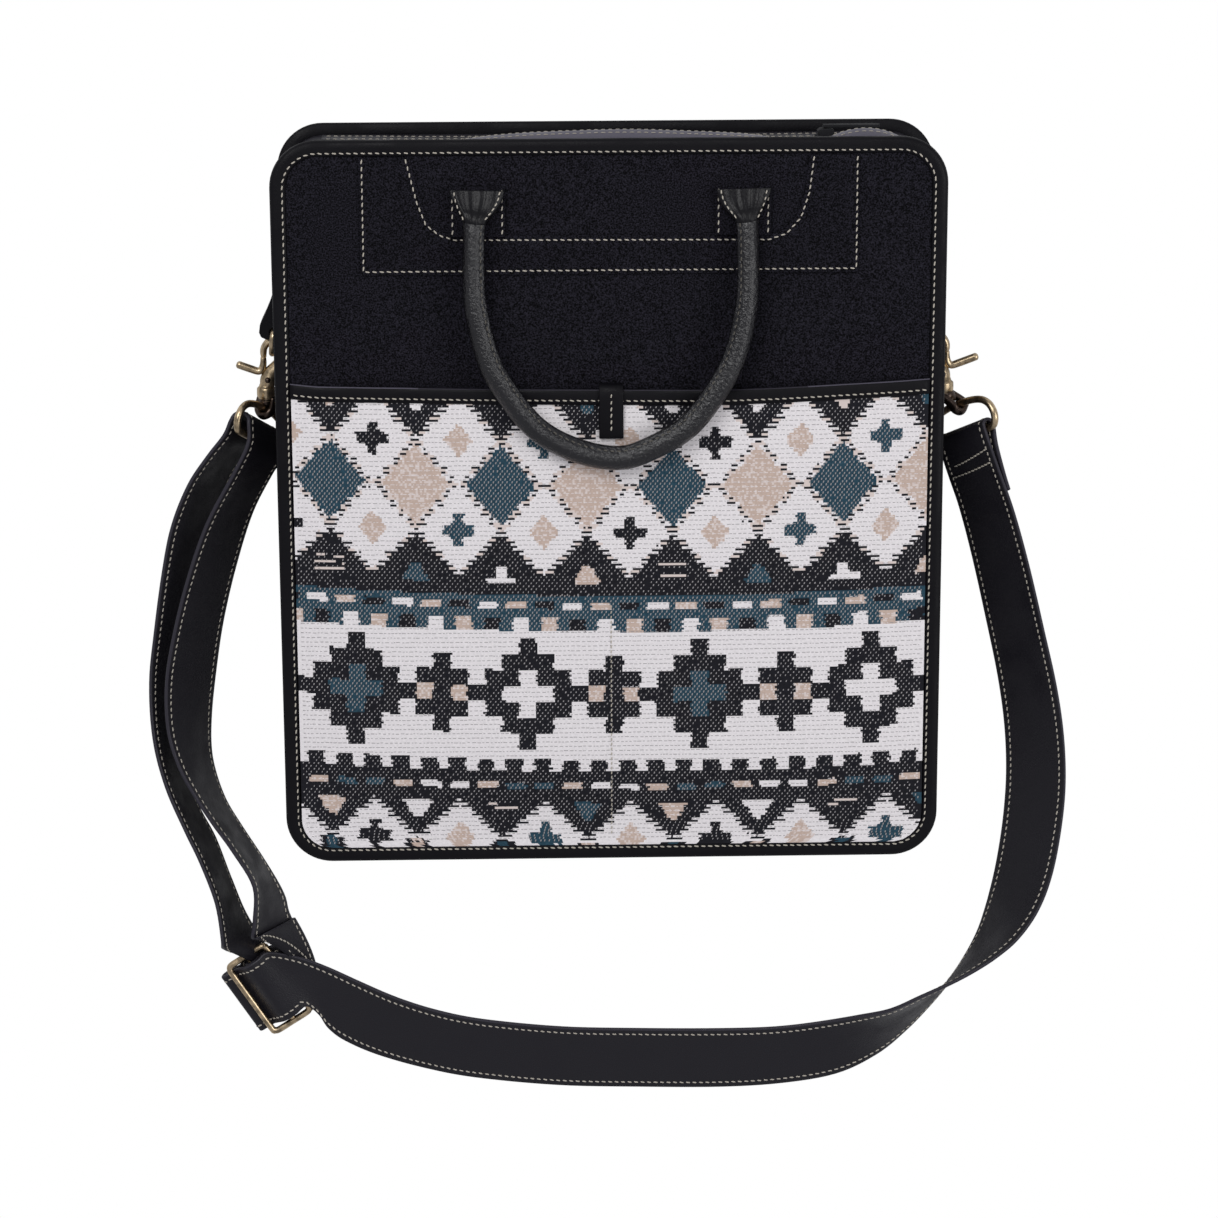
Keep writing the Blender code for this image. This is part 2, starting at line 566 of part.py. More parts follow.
def strap_stations():
    """The strap's centre line and width direction, from its sewn end to the right clip."""
    s = []
    s += [(-177.5, -243.0, 12.2, 0.95, -0.28, -0.1), (-171.0, -259.0, 9.8, 0.80, -0.60, 0.0)]
    s += [at_slider(19, 6.4), at_slider(11, 5.7), at_slider(7.4, 6.3), at_slider(4.7, 8.4), at_slider(2.4, 11.0)]
    for deg in (90, 135, 180, 225, 270):
        a = math.radians(deg)
        s.append(at_slider(3.2 * math.cos(a), BAR_Z - LAYER_LIFT + 3.2 * math.sin(a)))
    s += [at_slider(5, 4.4), at_slider(11, 3.4), at_slider(20, 3.8), (-171.4, -259.6, 6.3, 0.80, -0.60, 0.0)]
    s += [(-178.4, -242.0, 8.6, 0.95, -0.28, -0.1), (-188.0, -217.0, 11.6, 0.93, 0.2, -0.28)]
    s += [(-198.5, -199.0, 15.0, 0.82, 0.3, -0.5), (-211.0, -179.0, 18.0, 0.72, 0.2, -0.66)]
    s += [(-219.5, -160.0, 20.5, 0.66, 0.1, -0.75), (-224.0, -135.0, 22.0, 0.64, 0, -0.77)]
    s += [(-222.5, -100.0, 24.0, 0.64, 0, -0.77), (-217.5, -73.0, 26.5, 0.63, 0, -0.78)]
    s += [(-209.5, -43.0, 29.0, 0.61, 0, -0.79), (-199.0, -13.0, 31.8, 0.58, 0, -0.81)]
    s += [(-185.8, 12.0, 37.4, 0.46, -0.2, -0.86), (-179.2, 24.4, 40.7, 0.40, -0.39, -0.83)]
    s += fold(-1, 1.0, 4.6, 5.4, -2.2)
    s += [(-191.4, 28.8, 33.6, 0.42, -0.32, -0.84), (-199.0, 20.5, 30.6, 0.48, -0.16, -0.86)]
    s += [(-208.5, 7.0, 27.4, 0.56, 0, -0.83), (-217.0, -15.0, 25.6, 0.6, 0, -0.8)]
    s += [(-222.5, -40.0, 23.6, 0.62, 0, -0.79), (-228.0, -75.0, 20.6, 0.64, 0, -0.77)]
    s += [(-231.5, -102.0, 18.2, 0.66, 0, -0.75), (-232.5, -137.0, 16.0, 0.68, 0, -0.73)]
    s += [(-228.5, -164.0, 13.6, 0.74, 0.1, -0.66), (-220.5, -186.0, 11.4, 0.82, 0.2, -0.5)]
    s += [(-211.0, -206.0, 7.2, 0.90, 0.2, -0.3), (-202.5, -226.0, 3.9, 0.97, 0.05, -0.1)]
    s += [(-196.0, -246.0, 1.9, 0.98, -0.2, 0.0), (-191.0, -263.0, 1.2, 0.90, -0.42, 0.0)]
    s += [(-190.0, -275.0, 1.1, 0.76, -0.64, 0.0), at_slider(-7.5, 1.1), at_slider(-13, 1.1), at_slider(-17.0, 1.1)]
    s += [at_slider(-18.9, 1.9), at_slider(-19.6, 3.5), at_slider(-18.9, 5.1), at_slider(-17.0, 5.6)]
    s += [at_slider(-13.0, 5.6), at_slider(-10.4, 6.3), at_slider(-7.7, 8.9), at_slider(-5.2, 11.6)]
    s += [at_slider(-2.6, 13.7), at_slider(0, 14.5), at_slider(4.5, 13.9), at_slider(11, 12.2)]
    s += [(-166.5, -281.0, 11.6, 0.34, -0.93, -0.06), (-155.5, -288.5, 10.6, 0.02, -0.99, -0.1)]
    s += [(-142.0, -297.0, 9.6, -0.22, -0.96, -0.14), (-122.7, -306.5, 8.8, -0.33, -0.92, -0.17)]
    s += [(-99.0, -314.7, 8.0, -0.26, -0.95, -0.2), (-72.0, -321.0, 7.0, -0.16, -0.97, -0.2)]
    s += [(-28.0, -326.2, 6.4, -0.06, -0.98, -0.2), (16.0, -327.8, 6.4, -0.0, -0.98, -0.2)]
    s += [(60.0, -328.4, 6.6, 0.0, -0.98, -0.2), (92.8, -327.0, 7.2, 0.10, -0.97, -0.24)]
    s += [(120.4, -322.5, 8.6, 0.24, -0.93, -0.3), (141.8, -314.0, 10.4, 0.36, -0.86, -0.38)]
    s += [(158.0, -304.0, 12.6, 0.45, -0.76, -0.48), (173.0, -291.5, 15.4, 0.48, -0.62, -0.62)]
    s += [(186.0, -280.0, 18.2, 0.40, -0.44, -0.8), (196.0, -270.0, 19.8, 0.22, -0.2, -0.95)]
    s += [(205.5, -259.0, 20.2, -0.05, 0.05, -1.0), (213.5, -247.0, 20.0, -0.34, 0.2, -0.92)]
    s += [(220.5, -232.0, 19.0, -0.56, 0.15, -0.81), (225.5, -214.0, 18.0, -0.68, 0.1, -0.73)]
    s += [(229.0, -190.0, 17.4, -0.73, 0, -0.68), (230.3, -165.0, 17.4, -0.75, 0, -0.66)]
    s += [(228.6, -138.0, 18.2, -0.75, 0, -0.66), (224.0, -110.0, 19.8, -0.74, 0, -0.67)]
    s += [(216.5, -78.0, 22.0, -0.72, 0, -0.69), (207.5, -42.0, 25.6, -0.7, 0.0, -0.70)]
    s += [(199.0, -13.0, 30.6, -0.66, -0.08, -0.73), (191.6, 7.0, 36.6, -0.60, -0.22, -0.75)]
    s += [(186.6, 20.5, 42.0, -0.55, -0.36, -0.745)]
    s += fold(1, 1.2, 1.05, 3.35, 0.0)
    s += [(190.2, 20.8, 39.8, -0.55, -0.36, -0.745), (193.9, 7.4, 34.9, -0.60, -0.22, -0.75)]
    s += [(196.6, -1.0, 32.4, -0.63, -0.14, -0.74)]
    return [follow(station) for station in s]


def build_strap():
    ribbon("shoulder_strap", strap_stations(), STRAP_W, STRAP_T, ["leather_black"], steps=3)


def build_slider():
    """Rectangular round-wire frame with a centre bar between its short sides."""
    hu = 22.6
    r = BAR_R
    sides = 8
    loop = []
    frame = [(-19.6, BAR_A), (0, BAR_A), (19.6, BAR_A), (hu - 0.8, BAR_A + 0.9), (hu, BAR_A + 3.2)]
    frame += [(hu, -1.0), (hu, BAR_C - 3.2), (hu - 0.8, BAR_C - 0.9), (19.6, BAR_C), (0, BAR_C), (-19.6, BAR_C)]
    frame += [(-hu + 0.8, BAR_C - 0.9), (-hu, BAR_C - 3.2), (-hu, -1.0), (-hu, BAR_A + 3.2), (-hu + 0.8, BAR_A + 0.9)]
    for u, s in frame:
        x = SLIDER_C[0] + SLIDER_S[0] * s + SLIDER_U[0] * u
        y = SLIDER_C[1] + SLIDER_S[1] * s + SLIDER_U[1] * u
        loop.append((x, y, BAR_Z, r, r))
    tube("strap_slider", loop, sides, ["brass_antique"], closed=True)
    bar = []
    for u in (-hu + r + GAP, hu - r - GAP):
        x = SLIDER_C[0] + SLIDER_U[0] * u
        y = SLIDER_C[1] + SLIDER_U[1] * u
        bar.append((x, y, BAR_Z, r, r))
    tube("strap_slider_bar", bar, sides, ["brass_antique"])


def build_inside():
    low = -BAG_H / 2 + 9.8
    x = BAG_W / 2 - 26.0
    box("base_stiffener", (-x, low, BACK_IN), (x, low + 2.0, BAG_D - 10.0), ["board"])
    tall = BAG_H - SLEEVE_SHORT
    y = low + 2.0 + GAP + tall / 2
    pts = outline(0, BAG_W - SLEEVE_NARROW, tall, 16.0)
    prism("laptop_sleeve", [(a, b + y) for a, b in pts], SLEEVE_Z, SLEEVE_Z + SLEEVE_T, ["lining_cloth"])


def main():
    clear_scene()
    make_collections()
    build_bindings()
    build_panels()
    build_gusset()
    build_zip()
    build_yoke()
    build_pocket()
    build_handles()
    build_side(-1)
    build_side(1)
    build_strap()
    build_slider()
    build_inside()


main()
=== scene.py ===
"""Visual model of the laptop bag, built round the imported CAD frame."""
import math
import random

import bpy
from mathutils import Matrix, Vector


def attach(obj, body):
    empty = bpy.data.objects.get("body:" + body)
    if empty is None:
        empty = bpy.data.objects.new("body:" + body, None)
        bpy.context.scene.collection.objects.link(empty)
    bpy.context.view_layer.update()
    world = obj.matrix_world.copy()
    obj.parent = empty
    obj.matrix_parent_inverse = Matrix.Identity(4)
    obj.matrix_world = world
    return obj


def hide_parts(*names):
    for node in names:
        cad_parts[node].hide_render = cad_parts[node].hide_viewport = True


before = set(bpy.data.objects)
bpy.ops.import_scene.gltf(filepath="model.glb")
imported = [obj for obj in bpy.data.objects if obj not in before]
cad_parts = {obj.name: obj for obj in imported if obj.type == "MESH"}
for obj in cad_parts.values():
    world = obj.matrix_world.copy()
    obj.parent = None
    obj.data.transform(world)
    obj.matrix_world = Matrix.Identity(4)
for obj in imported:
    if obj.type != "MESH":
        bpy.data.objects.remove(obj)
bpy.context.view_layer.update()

bl_info = {
    "name": "Laptop Bag",
    "version": (1, 0, 0),
    "blender": (4, 5, 0),
    "location": "3D View > Sidebar > Laptop Bag",
    "description": "Builds a laptop bag with a woven pocket, rolled handles and a clipped strap",
    "category": "Object",
}

MM = 0.001
ORIGIN_Y = 186.0
BAG_W = 342.0
BAG_H = 380.0
BAG_D = 72.0
CORNER_R = 24.0
MOUTH_Y = 57.0
BULGE = 5.2
POCKET_HALF = 162.6
POCKET_LOW = -181.6
CLOTH_LOW = -181.9
POCKET_CORNER_R = 16.0
POCKET_CORNER_Y = -166.0
SUEDE_Z = 70.5
SEAM_Z = 71.8
STITCH_IN = 6.5
STRIP_HALF = 146.7
STRIP_Y = 184.0
STRIP_W = 24.6
STRIP_FRONT_Z = 42.3
STRIP_BACK_Z = 5.1
CLIP_Z = 36.0
DEE_X = 172.3
DEE_Y = 88.0
HOOK_X = 177.6
HOOK_Y = 75.6
FOLD_Y = 149.5
FRONT_HANDLE_Z = 76.0
STRAP_HALF_T = 1.0
BAR_Z = 9.2
BAR_R = 1.8
LAYER_LIFT = 0.4
SLIDER_C = (-186.0, -283.0)
SLIDER_U = (0.545, -0.839)
SLIDER_S = (0.839, 0.545)
HANDLE_SIDES = 72
RIDGE_AT = 2.75
SEAM_AT = 2.35
EYE_HALF = 3.9
RIGHT_SHIFT = -3.0
RING_LEFT = ((-183.3, 30.7, 40.9), (0.381, -0.425, -0.821), (0.279, 0.899, -0.336))
RING_RIGHT = ((187.1, 29.9, 42.3), (-0.533, -0.404, -0.743), (-0.308, 0.911, -0.274))
RING_HALF = [
    (-10, 0), (-19, 0), (-21.8, 1.2), (-23.6, 4), (-24, 7.5), (-22.6, 11.5), (-18.5, 14.8), (-11, 16.6),
]
RING_TOP = (0, 17.2)
RING_PROFILE = [(0, 0), *RING_HALF, RING_TOP, *((-x, y) for x, y in reversed(RING_HALF))]
BINDING_SECTION = [(0.0, 69.4), (0.25, 70.6), (0.9, 71.5), (2.0, 72.0), (4.0, 72.15), (6.0, 71.9)]
BINDING_SECTION += [(7.2, 71.9), (8.0, 71.3), (8.3, 70.4), (8.2, 67.4), (7.2, 67.0), (0.9, 67.0), (0.2, 67.6)]
MOUTH_SECTION = [(-2.2, -0.3), (-2.3, 0.7), (-1.8, 1.25), (0.0, 1.4), (2.0, 1.5), (4.2, 1.4), (5.2, 1.1)]
MOUTH_SECTION += [(5.7, 0.5), (5.7, -0.3), (4.0, -0.6)]
STRAP_SECTION = [(-1, -0.45), (-0.985, -0.85), (-0.95, -1), (-0.86, -0.95), (0.86, -0.95), (0.95, -1)]
STRAP_SECTION += [(0.985, -0.85), (1, -0.45), (1, 0.45), (0.985, 0.85), (0.95, 1), (0.86, 0.95)]
STRAP_SECTION += [(-0.86, 0.95), (-0.95, 1), (-0.985, 0.85), (-1, 0.45)]
STRAP_EDGES = (0, 1, 6, 7, 8, 9, 14, 15)
CAMERA_PLACE = (-0.04475, 0.44577 + ORIGIN_Y * MM, 1.95895)
CAMERA_TURN = ((0.9996983, 0.0103044, -0.0222957), (-0.0042585, 0.9667090, 0.2558428),
               (0.0241898, -0.2556707, 0.9664613))

# The CAD pieces that are shown as they are: finish, rounding of their edges, nodes
CAD_FINISHES = (
    ("suede", 0.0, ("back_panel",)),
    ("gusset", 0.0, ("side_bottom_gusset",)),
    ("yoke", 0.3, ("front_yoke",)),
    ("yoke", 0.5, ("front_chape_left", "front_chape_right", "back_chape_left", "back_chape_right")),
    ("leather", 0.5, ("pocket_tab",)),
    ("leather", 0.4, ("zip_end_tab_left", "zip_end_tab_right")),
    ("lining", 0.0, ("lining", "laptop_sleeve")),
    ("board", 0.0, ("base_stiffener",)),
    ("zip", 0.0, ("zip_tape_front", "zip_tape_back")),
    ("zip", 0.5, ("zip_slider",)),
    ("zip", 0.4, ("zip_puller",)),
    ("teeth", 0.0, ("zip_coil",)),
)

# Rows, starts and pitches of the woven pattern, in the pattern's own units
DIAMOND_PITCH = 85.5
DIAMOND_START = 330.5
DIAMOND_ROW = 487.0
CROSS_START = 373.2
UPPER_CROSS_ROW = 443.0
LOWER_CROSS_ROW = 533.0
TOP_POINT_ROW = 397.0
LOW_POINT_ROW = 537.0
SMALL_MOTIF_ROW = 580.0
LATTICE_END = 584.0
TEAL_START = 596.0
BLOCK_PITCH = 28.3
DASH_START = 318.0
DASH_ROW = 606.0
BLOCK_START = 323.0
BLOCK_ROW = 625.0
TEAL_END = 631.5
MEDALLION_PITCH = 85.7
MEDALLION_START = 357.0
MEDALLION_ROW = 694.0
MEDALLION_CELL_W = 17.3
MEDALLION_CELL_H = 15.7
MEDALLIONS_END = 757.0
TOOTH_PITCH = 28.2
TOOTH_START = 317.3
TOOTH_ROW = 759.0
TEETH_END = 771.0
LOW_DASH_START = 319.5
LOW_DASH_ROW = 786.0
ZIGZAG_PITCH = 85.0
ZIGZAG_START = 333.5
ZIGZAG_ROW = 801.0
LOW_CROSS_START = 376.0
LOW_CROSS_ROW = 840.0
LINE_PITCH = 2.46


def colour_setting(name, description, default):
    """A colour that a user can set."""
    return bpy.props.FloatVectorProperty(name=name, description=description, subtype="COLOR", default=default)


def length_setting(name, description, default):
    """A length in metres that a user can set."""
    return bpy.props.FloatProperty(
        name=name, description=description, default=default, unit="LENGTH", precision=6)


class BagSettings(bpy.types.PropertyGroup):
    """Sizes and colours of the bag."""

    seed: bpy.props.IntProperty(name="Seed", description="Seed of the small irregularities", default=7)
    cell_x: length_setting("Weave cell width", "Width of one drawn yarn crossing", 0.001095)
    cell_y: length_setting("Weave cell height", "Height of one drawn yarn crossing", 0.00123)
    fleck_pitch: length_setting("Fleck pitch", "Distance between the light flecks of the dark yarns", 0.00240)
    stitch_pitch: length_setting("Stitch pitch", "Distance from stitch to stitch", 0.0036)
    strap_width: length_setting("Strap width", "Width of the shoulder strap", 0.038)
    cream: colour_setting("Cream yarn", "Colour of the ground yarn", (0.88, 0.84, 0.85))
    black: colour_setting("Black yarn", "Colour of the black yarn", (0.009, 0.009, 0.014))
    teal: colour_setting("Teal yarn", "Colour of the teal yarn", (0.024, 0.072, 0.108))
    beige: colour_setting("Beige yarn", "Colour of the beige yarn", (0.60, 0.465, 0.395))
    leather: colour_setting("Leather", "Colour of the smooth leather", (0.0060, 0.0055, 0.0075))
    suede: colour_setting("Suede", "Colour of the napped leather", (0.0075, 0.0070, 0.0100))
    brass: colour_setting("Brass", "Colour of the antique brass", (0.50, 0.39, 0.25))
    thread: colour_setting("Thread", "Colour of the pale thread", (0.50, 0.46, 0.39))


class StageSettings(bpy.types.PropertyGroup):
    """Camera and light of the picture."""

    lens: bpy.props.FloatProperty(
        name="Lens", description="Focal length of the camera", default=111.5, unit="CAMERA")
    world: bpy.props.FloatProperty(
        name="World", description="Strength of the surrounding light", default=0.42)
    key: bpy.props.FloatProperty(
        name="Key light", description="Power of the key light", default=22.0, unit="POWER")


def settings():
    """The bag's settings in the open scene."""
    return bpy.context.scene.bag_settings


# Meshes


def add_mesh(name, verts, faces, mats, index=None, smooth=True, body="bag", replaces=()):
    """Make a piece from points in bag millimetres and let it ride on a body."""
    mesh = bpy.data.meshes.new(name)
    mesh.from_pydata([(x * MM, (y + ORIGIN_Y) * MM, z * MM) for x, y, z in verts], [], faces)
    for m in mats:
        mesh.materials.append(m)
    if index:
        mesh.polygons.foreach_set("material_index", index)
    mesh.polygons.foreach_set("use_smooth", [smooth] * len(mesh.polygons))
    mesh.update()
    ob = bpy.data.objects.new(name, mesh)
    bpy.context.scene.collection.objects.link(ob)
    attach(ob, body)
    if replaces:
        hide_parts(*replaces)
    return ob


def outward(verts, faces):
    """Turn the faces of a closed form outwards."""
    total = 0.0
    for f in faces:
        a = Vector(verts[f[0]])
        for i in range(1, len(f) - 1):
            total += a.dot(Vector(verts[f[i]]).cross(Vector(verts[f[i + 1]])))
    if total < 0:
        return [tuple(reversed(f)) for f in faces]
    return faces


def skin(rings, closed=False):
    """Join rings of points into a closed form, round in a circle or capped at both ends."""
    n = len(rings[0])
    verts = [tuple(p) for ring in rings for p in ring]
    faces = []
    count = len(rings)
    for i in range(count if closed else count - 1):
        a = i * n
        b = ((i + 1) % count) * n
        for j in range(n):
            k = (j + 1) % n
            faces.append((a + j, a + k, b + k, b + j))
    if not closed:
        faces.append(tuple(reversed(range(n))))
        faces.append(tuple(range((count - 1) * n, count * n)))
    return verts, outward(verts, faces)


def outline(inset, arc=14, side=12):
    """Rounded outline of the bag from the left end of its top edge, down and round."""
    hw = BAG_W / 2 - inset
    hh = BAG_H / 2 - inset
    r = max(CORNER_R - inset, 3.0)
    pts = []
    for cx, cy, start in ((-1, 1, 90), (-1, -1, 180), (1, -1, 270), (1, 1, 360)):
        for k in range(arc + 1):
            a = math.radians(start + 90.0 * k / arc)
            pts.append((cx * (hw - r) + r * math.cos(a), cy * (hh - r) + r * math.sin(a)))
    out = []
    for i, p in enumerate(pts):
        out.append(p)
        q = pts[(i + 1) % len(pts)]
        if (i + 1) % (arc + 1) == 0:
            for k in range(1, side):
                t = k / side
                out.append((p[0] + (q[0] - p[0]) * t, p[1] + (q[1] - p[1]) * t))
    return out


def heading(points, i, closed=False):
    """Direction of a line of stations at one of them."""
    n = len(points)
    before = points[(i - 1) % n if closed else max(i - 1, 0)]
    after = points[(i + 1) % n if closed else min(i + 1, n - 1)]
    return (Vector(after[:3]) - Vector(before[:3])).normalized()


def spline(points, steps):
    """Smooth run of stations through the given ones."""
    out = []
    n = len(points)
    for i in range(n - 1):
        p0 = points[max(i - 1, 0)]
        p1 = points[i]
        p2 = points[i + 1]
        p3 = points[min(i + 2, n - 1)]
        for k in range(steps):
            t = k / steps
            vals = []
            for a, b, c, d in zip(p0, p1, p2, p3):
                v = 2 * b + (c - a) * t + (2 * a - 5 * b + 4 * c - d) * t * t
                v += (3 * b - a - 3 * c + d) * t * t * t
                vals.append(0.5 * v)
            out.append(tuple(vals))
    out.append(tuple(points[-1]))
    return out


def smoothstep(t):
    """Soft rise from 0 to 1."""
    t = min(max(t, 0.0), 1.0)
    return t * t * (3 - 2 * t)


def wave(x, y, scale, phase=0.0):
    """Slow smooth irregularity between -1 and 1."""
    a = math.sin(x / scale + phase) + math.sin(y / scale * 1.3 + 1.7 * phase)
    b = math.sin((x + y) / scale * 0.7 + 2.1 + phase) + math.sin((x - 1.4 * y) / scale * 0.9 + 0.6)
    return (a + b) / 4


# Materials


def shade(colour, k):
    """A colour made darker or paler."""
    return tuple(c * k for c in colour)


def new_material(name, colour, rough, metal=0.0):
    """Plain finish and its shader."""
    mat = bpy.data.materials.new(name)
    mat.use_nodes = True
    mat.diffuse_color = tuple(colour) + (1.0,)
    shader = mat.node_tree.nodes["Principled BSDF"]
    shader.inputs["Base Color"].default_value = tuple(colour) + (1.0,)
    shader.inputs["Roughness"].default_value = rough
    shader.inputs["Metallic"].default_value = metal
    if not metal:
        shader.inputs["Specular IOR Level"].default_value = 0.3
    return mat, shader


def add_noise(mat, scale, detail):
    """Uneven texture that stays on the piece."""
    tree = mat.node_tree
    place = tree.nodes.new("ShaderNodeTexCoord")
    noise = tree.nodes.new("ShaderNodeTexNoise")
    noise.inputs["Scale"].default_value = scale
    noise.inputs["Detail"].default_value = detail
    tree.links.new(place.outputs["Object"], noise.inputs["Vector"])
    return noise.outputs["Fac"]


def add_bump(mat, shader, source, strength, distance):
    """Let a texture raise the surface."""
    bump = mat.node_tree.nodes.new("ShaderNodeBump")
    bump.inputs["Strength"].default_value = strength
    bump.inputs["Distance"].default_value = distance
    mat.node_tree.links.new(source, bump.inputs["Height"])
    mat.node_tree.links.new(bump.outputs["Normal"], shader.inputs["Normal"])


def add_ramp(mat, source, target, low, high, at=(0.35, 0.65)):
    """Colour one shader input between two values, driven by a texture."""
    ramp = mat.node_tree.nodes.new("ShaderNodeValToRGB")
    ramp.color_ramp.elements[0].position = at[0]
    ramp.color_ramp.elements[1].position = at[1]
    ramp.color_ramp.elements[0].color = tuple(low) + (1.0,)
    ramp.color_ramp.elements[1].color = tuple(high) + (1.0,)
    mat.node_tree.links.new(source, ramp.inputs["Fac"])
    mat.node_tree.links.new(ramp.outputs["Color"], target)


def leather_material(name, colour, rough, bump=0.25, shine=0.3, scale=1100.0):
    """Grained leather whose gloss changes in soft patches."""
    mat, shader = new_material(name, colour, rough)
    shader.inputs["Specular IOR Level"].default_value = shine
    grain = add_noise(mat, scale, 3.0)
    add_bump(mat, shader, grain, bump, 0.44 / scale)
    patches = add_noise(mat, 60.0, 4.0)
    add_ramp(mat, patches, shader.inputs["Roughness"], (rough * 0.8,) * 3, (rough * 1.3,) * 3)
    return mat


def suede_material(name, colour):
    """Napped leather with a dull speckle."""
    mat, shader = new_material(name, colour, 0.95)
    shader.inputs["Specular IOR Level"].default_value = 0.1
    nap = add_noise(mat, 1300.0, 4.0)
    low, high = shade(colour, 0.15), shade(colour, 3.8)
    add_ramp(mat, nap, shader.inputs["Base Color"], low, high, (0.40, 0.74))
    add_bump(mat, shader, nap, 0.6, 0.0006)
    return mat


def yarn_material(key, colour):
    """Fuzzy yarn; the dark ones vary more."""
    mat, shader = new_material("yarn_" + key, colour, 0.88)
    fuzz = add_noise(mat, 900.0, 3.0)
    low = 0.90 if key in ("cream", "beige") else 0.6
    add_ramp(mat, fuzz, shader.inputs["Base Color"], shade(colour, low), colour)
    add_bump(mat, shader, fuzz, 0.35, 0.0004)
    return mat


def brass_material(colour):
    """Antique brass, darker where it is tarnished."""
    mat, shader = new_material("brass_antique", colour, 0.30, 1.0)
    tarnish = add_noise(mat, 260.0, 5.0)
    low, high = shade(colour, 0.55), shade(colour, 1.3)
    add_ramp(mat, tarnish, shader.inputs["Base Color"], low, high, (0.36, 0.60))
    return mat


def make_materials():
    """Every finish of the bag by its short name."""
    s = settings()
    m = {}
    m["leather"] = leather_material("leather_smooth", shade(s.leather, 0.8), 0.46, 0.3, 0.13)
    m["handle"] = leather_material("leather_handle", shade(s.leather, 0.8), 0.26, 1.0, 0.6, 650.0)
    m["fan"] = leather_material("leather_fan", shade(s.leather, 0.7), 0.34, 0.6, 0.24)
    m["gusset"] = leather_material("leather_gusset", shade(s.leather, 3.0), 0.36)
    # Painted sheen: a paler, bluer copy of the dark leather, for the lit bulges of the front strip and the
    # pocket mouth's upper edge
    m["strip"] = leather_material("leather_painted_sheen", (0.085, 0.079, 0.106), 0.36, 0.35, 0.45)
    m["strap"] = leather_material("leather_strap", shade(s.leather, 2.0), 0.46, 0.5)
    # Lighter leather for the strap's edge paint, and for the painted highlight in the middle of the pocket
    # mouth's upper edge
    m["edge"] = leather_material("leather_edge_paint_and_highlight", shade(s.leather, 5.0), 0.42)
    m["suede"] = suede_material("suede", s.suede)
    m["yoke"] = suede_material("suede_yoke", shade(s.suede, 0.92))
    for key, colour in (("cream", s.cream), ("black", s.black), ("teal", s.teal), ("beige", s.beige)):
        m[key] = yarn_material(key, colour)
    mixed = tuple(a * 0.6 + b * 0.4 for a, b in zip(s.beige, s.cream))
    plain = (
        # Painted shade: grey for the grooves between the rows of the cream yarn
        ("line", "yarn_line", shade(s.cream, 0.40), 0.9),
        ("grain", "yarn_grain", mixed, 0.9),
        ("speck", "yarn_speck", shade(s.cream, 0.40), 0.9),
        ("speck_dim", "yarn_speck_dim", shade(s.cream, 0.46), 0.9),
        ("thread", "thread_pale", s.thread, 0.7),
        ("thread_dim", "thread_dim", shade(s.thread, 0.75), 0.7),
        ("thread_dark", "thread_dark", shade(s.thread, 0.22), 0.7),
        ("zip", "zip_cloth", (0.012, 0.012, 0.014), 0.85),
        ("teeth", "zip_nylon", (0.02, 0.02, 0.022), 0.35),
        ("lining", "lining_cloth", (0.10, 0.095, 0.09), 0.9),
        ("board", "board", (0.03, 0.03, 0.03), 0.7),
    )
    for key, name, colour, rough in plain:
        m[key] = new_material(name, colour, rough)[0]
    m["brass"] = brass_material(s.brass)
    m["stud"] = new_material("metal_dark", (0.075, 0.055, 0.045), 0.30, 1.0)[0]
    return m


MATS = {}


def finishes(*keys):
    """Materials of a piece, in the order of its slots."""
    return [MATS[k] for k in keys]


def dress(node, key, bevel=0.0):
    """Give a CAD node its finish, and round it where asked."""
    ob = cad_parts[node]
    ob.data.materials.clear()
    ob.data.materials.append(MATS[key])
    ob.data.polygons.foreach_set("material_index", [0] * len(ob.data.polygons))
    if bevel:
        weld = ob.modifiers.new("weld", "WELD")
        weld.merge_threshold = 0.01 * MM
        mod = ob.modifiers.new("bevel", "BEVEL")
        mod.width = bevel * MM
        mod.segments = 3
        mod.limit_method = "ANGLE"
        mod.angle_limit = math.radians(40)
        ob.data.polygons.foreach_set("use_smooth", [True] * len(ob.data.polygons))


# Stitches


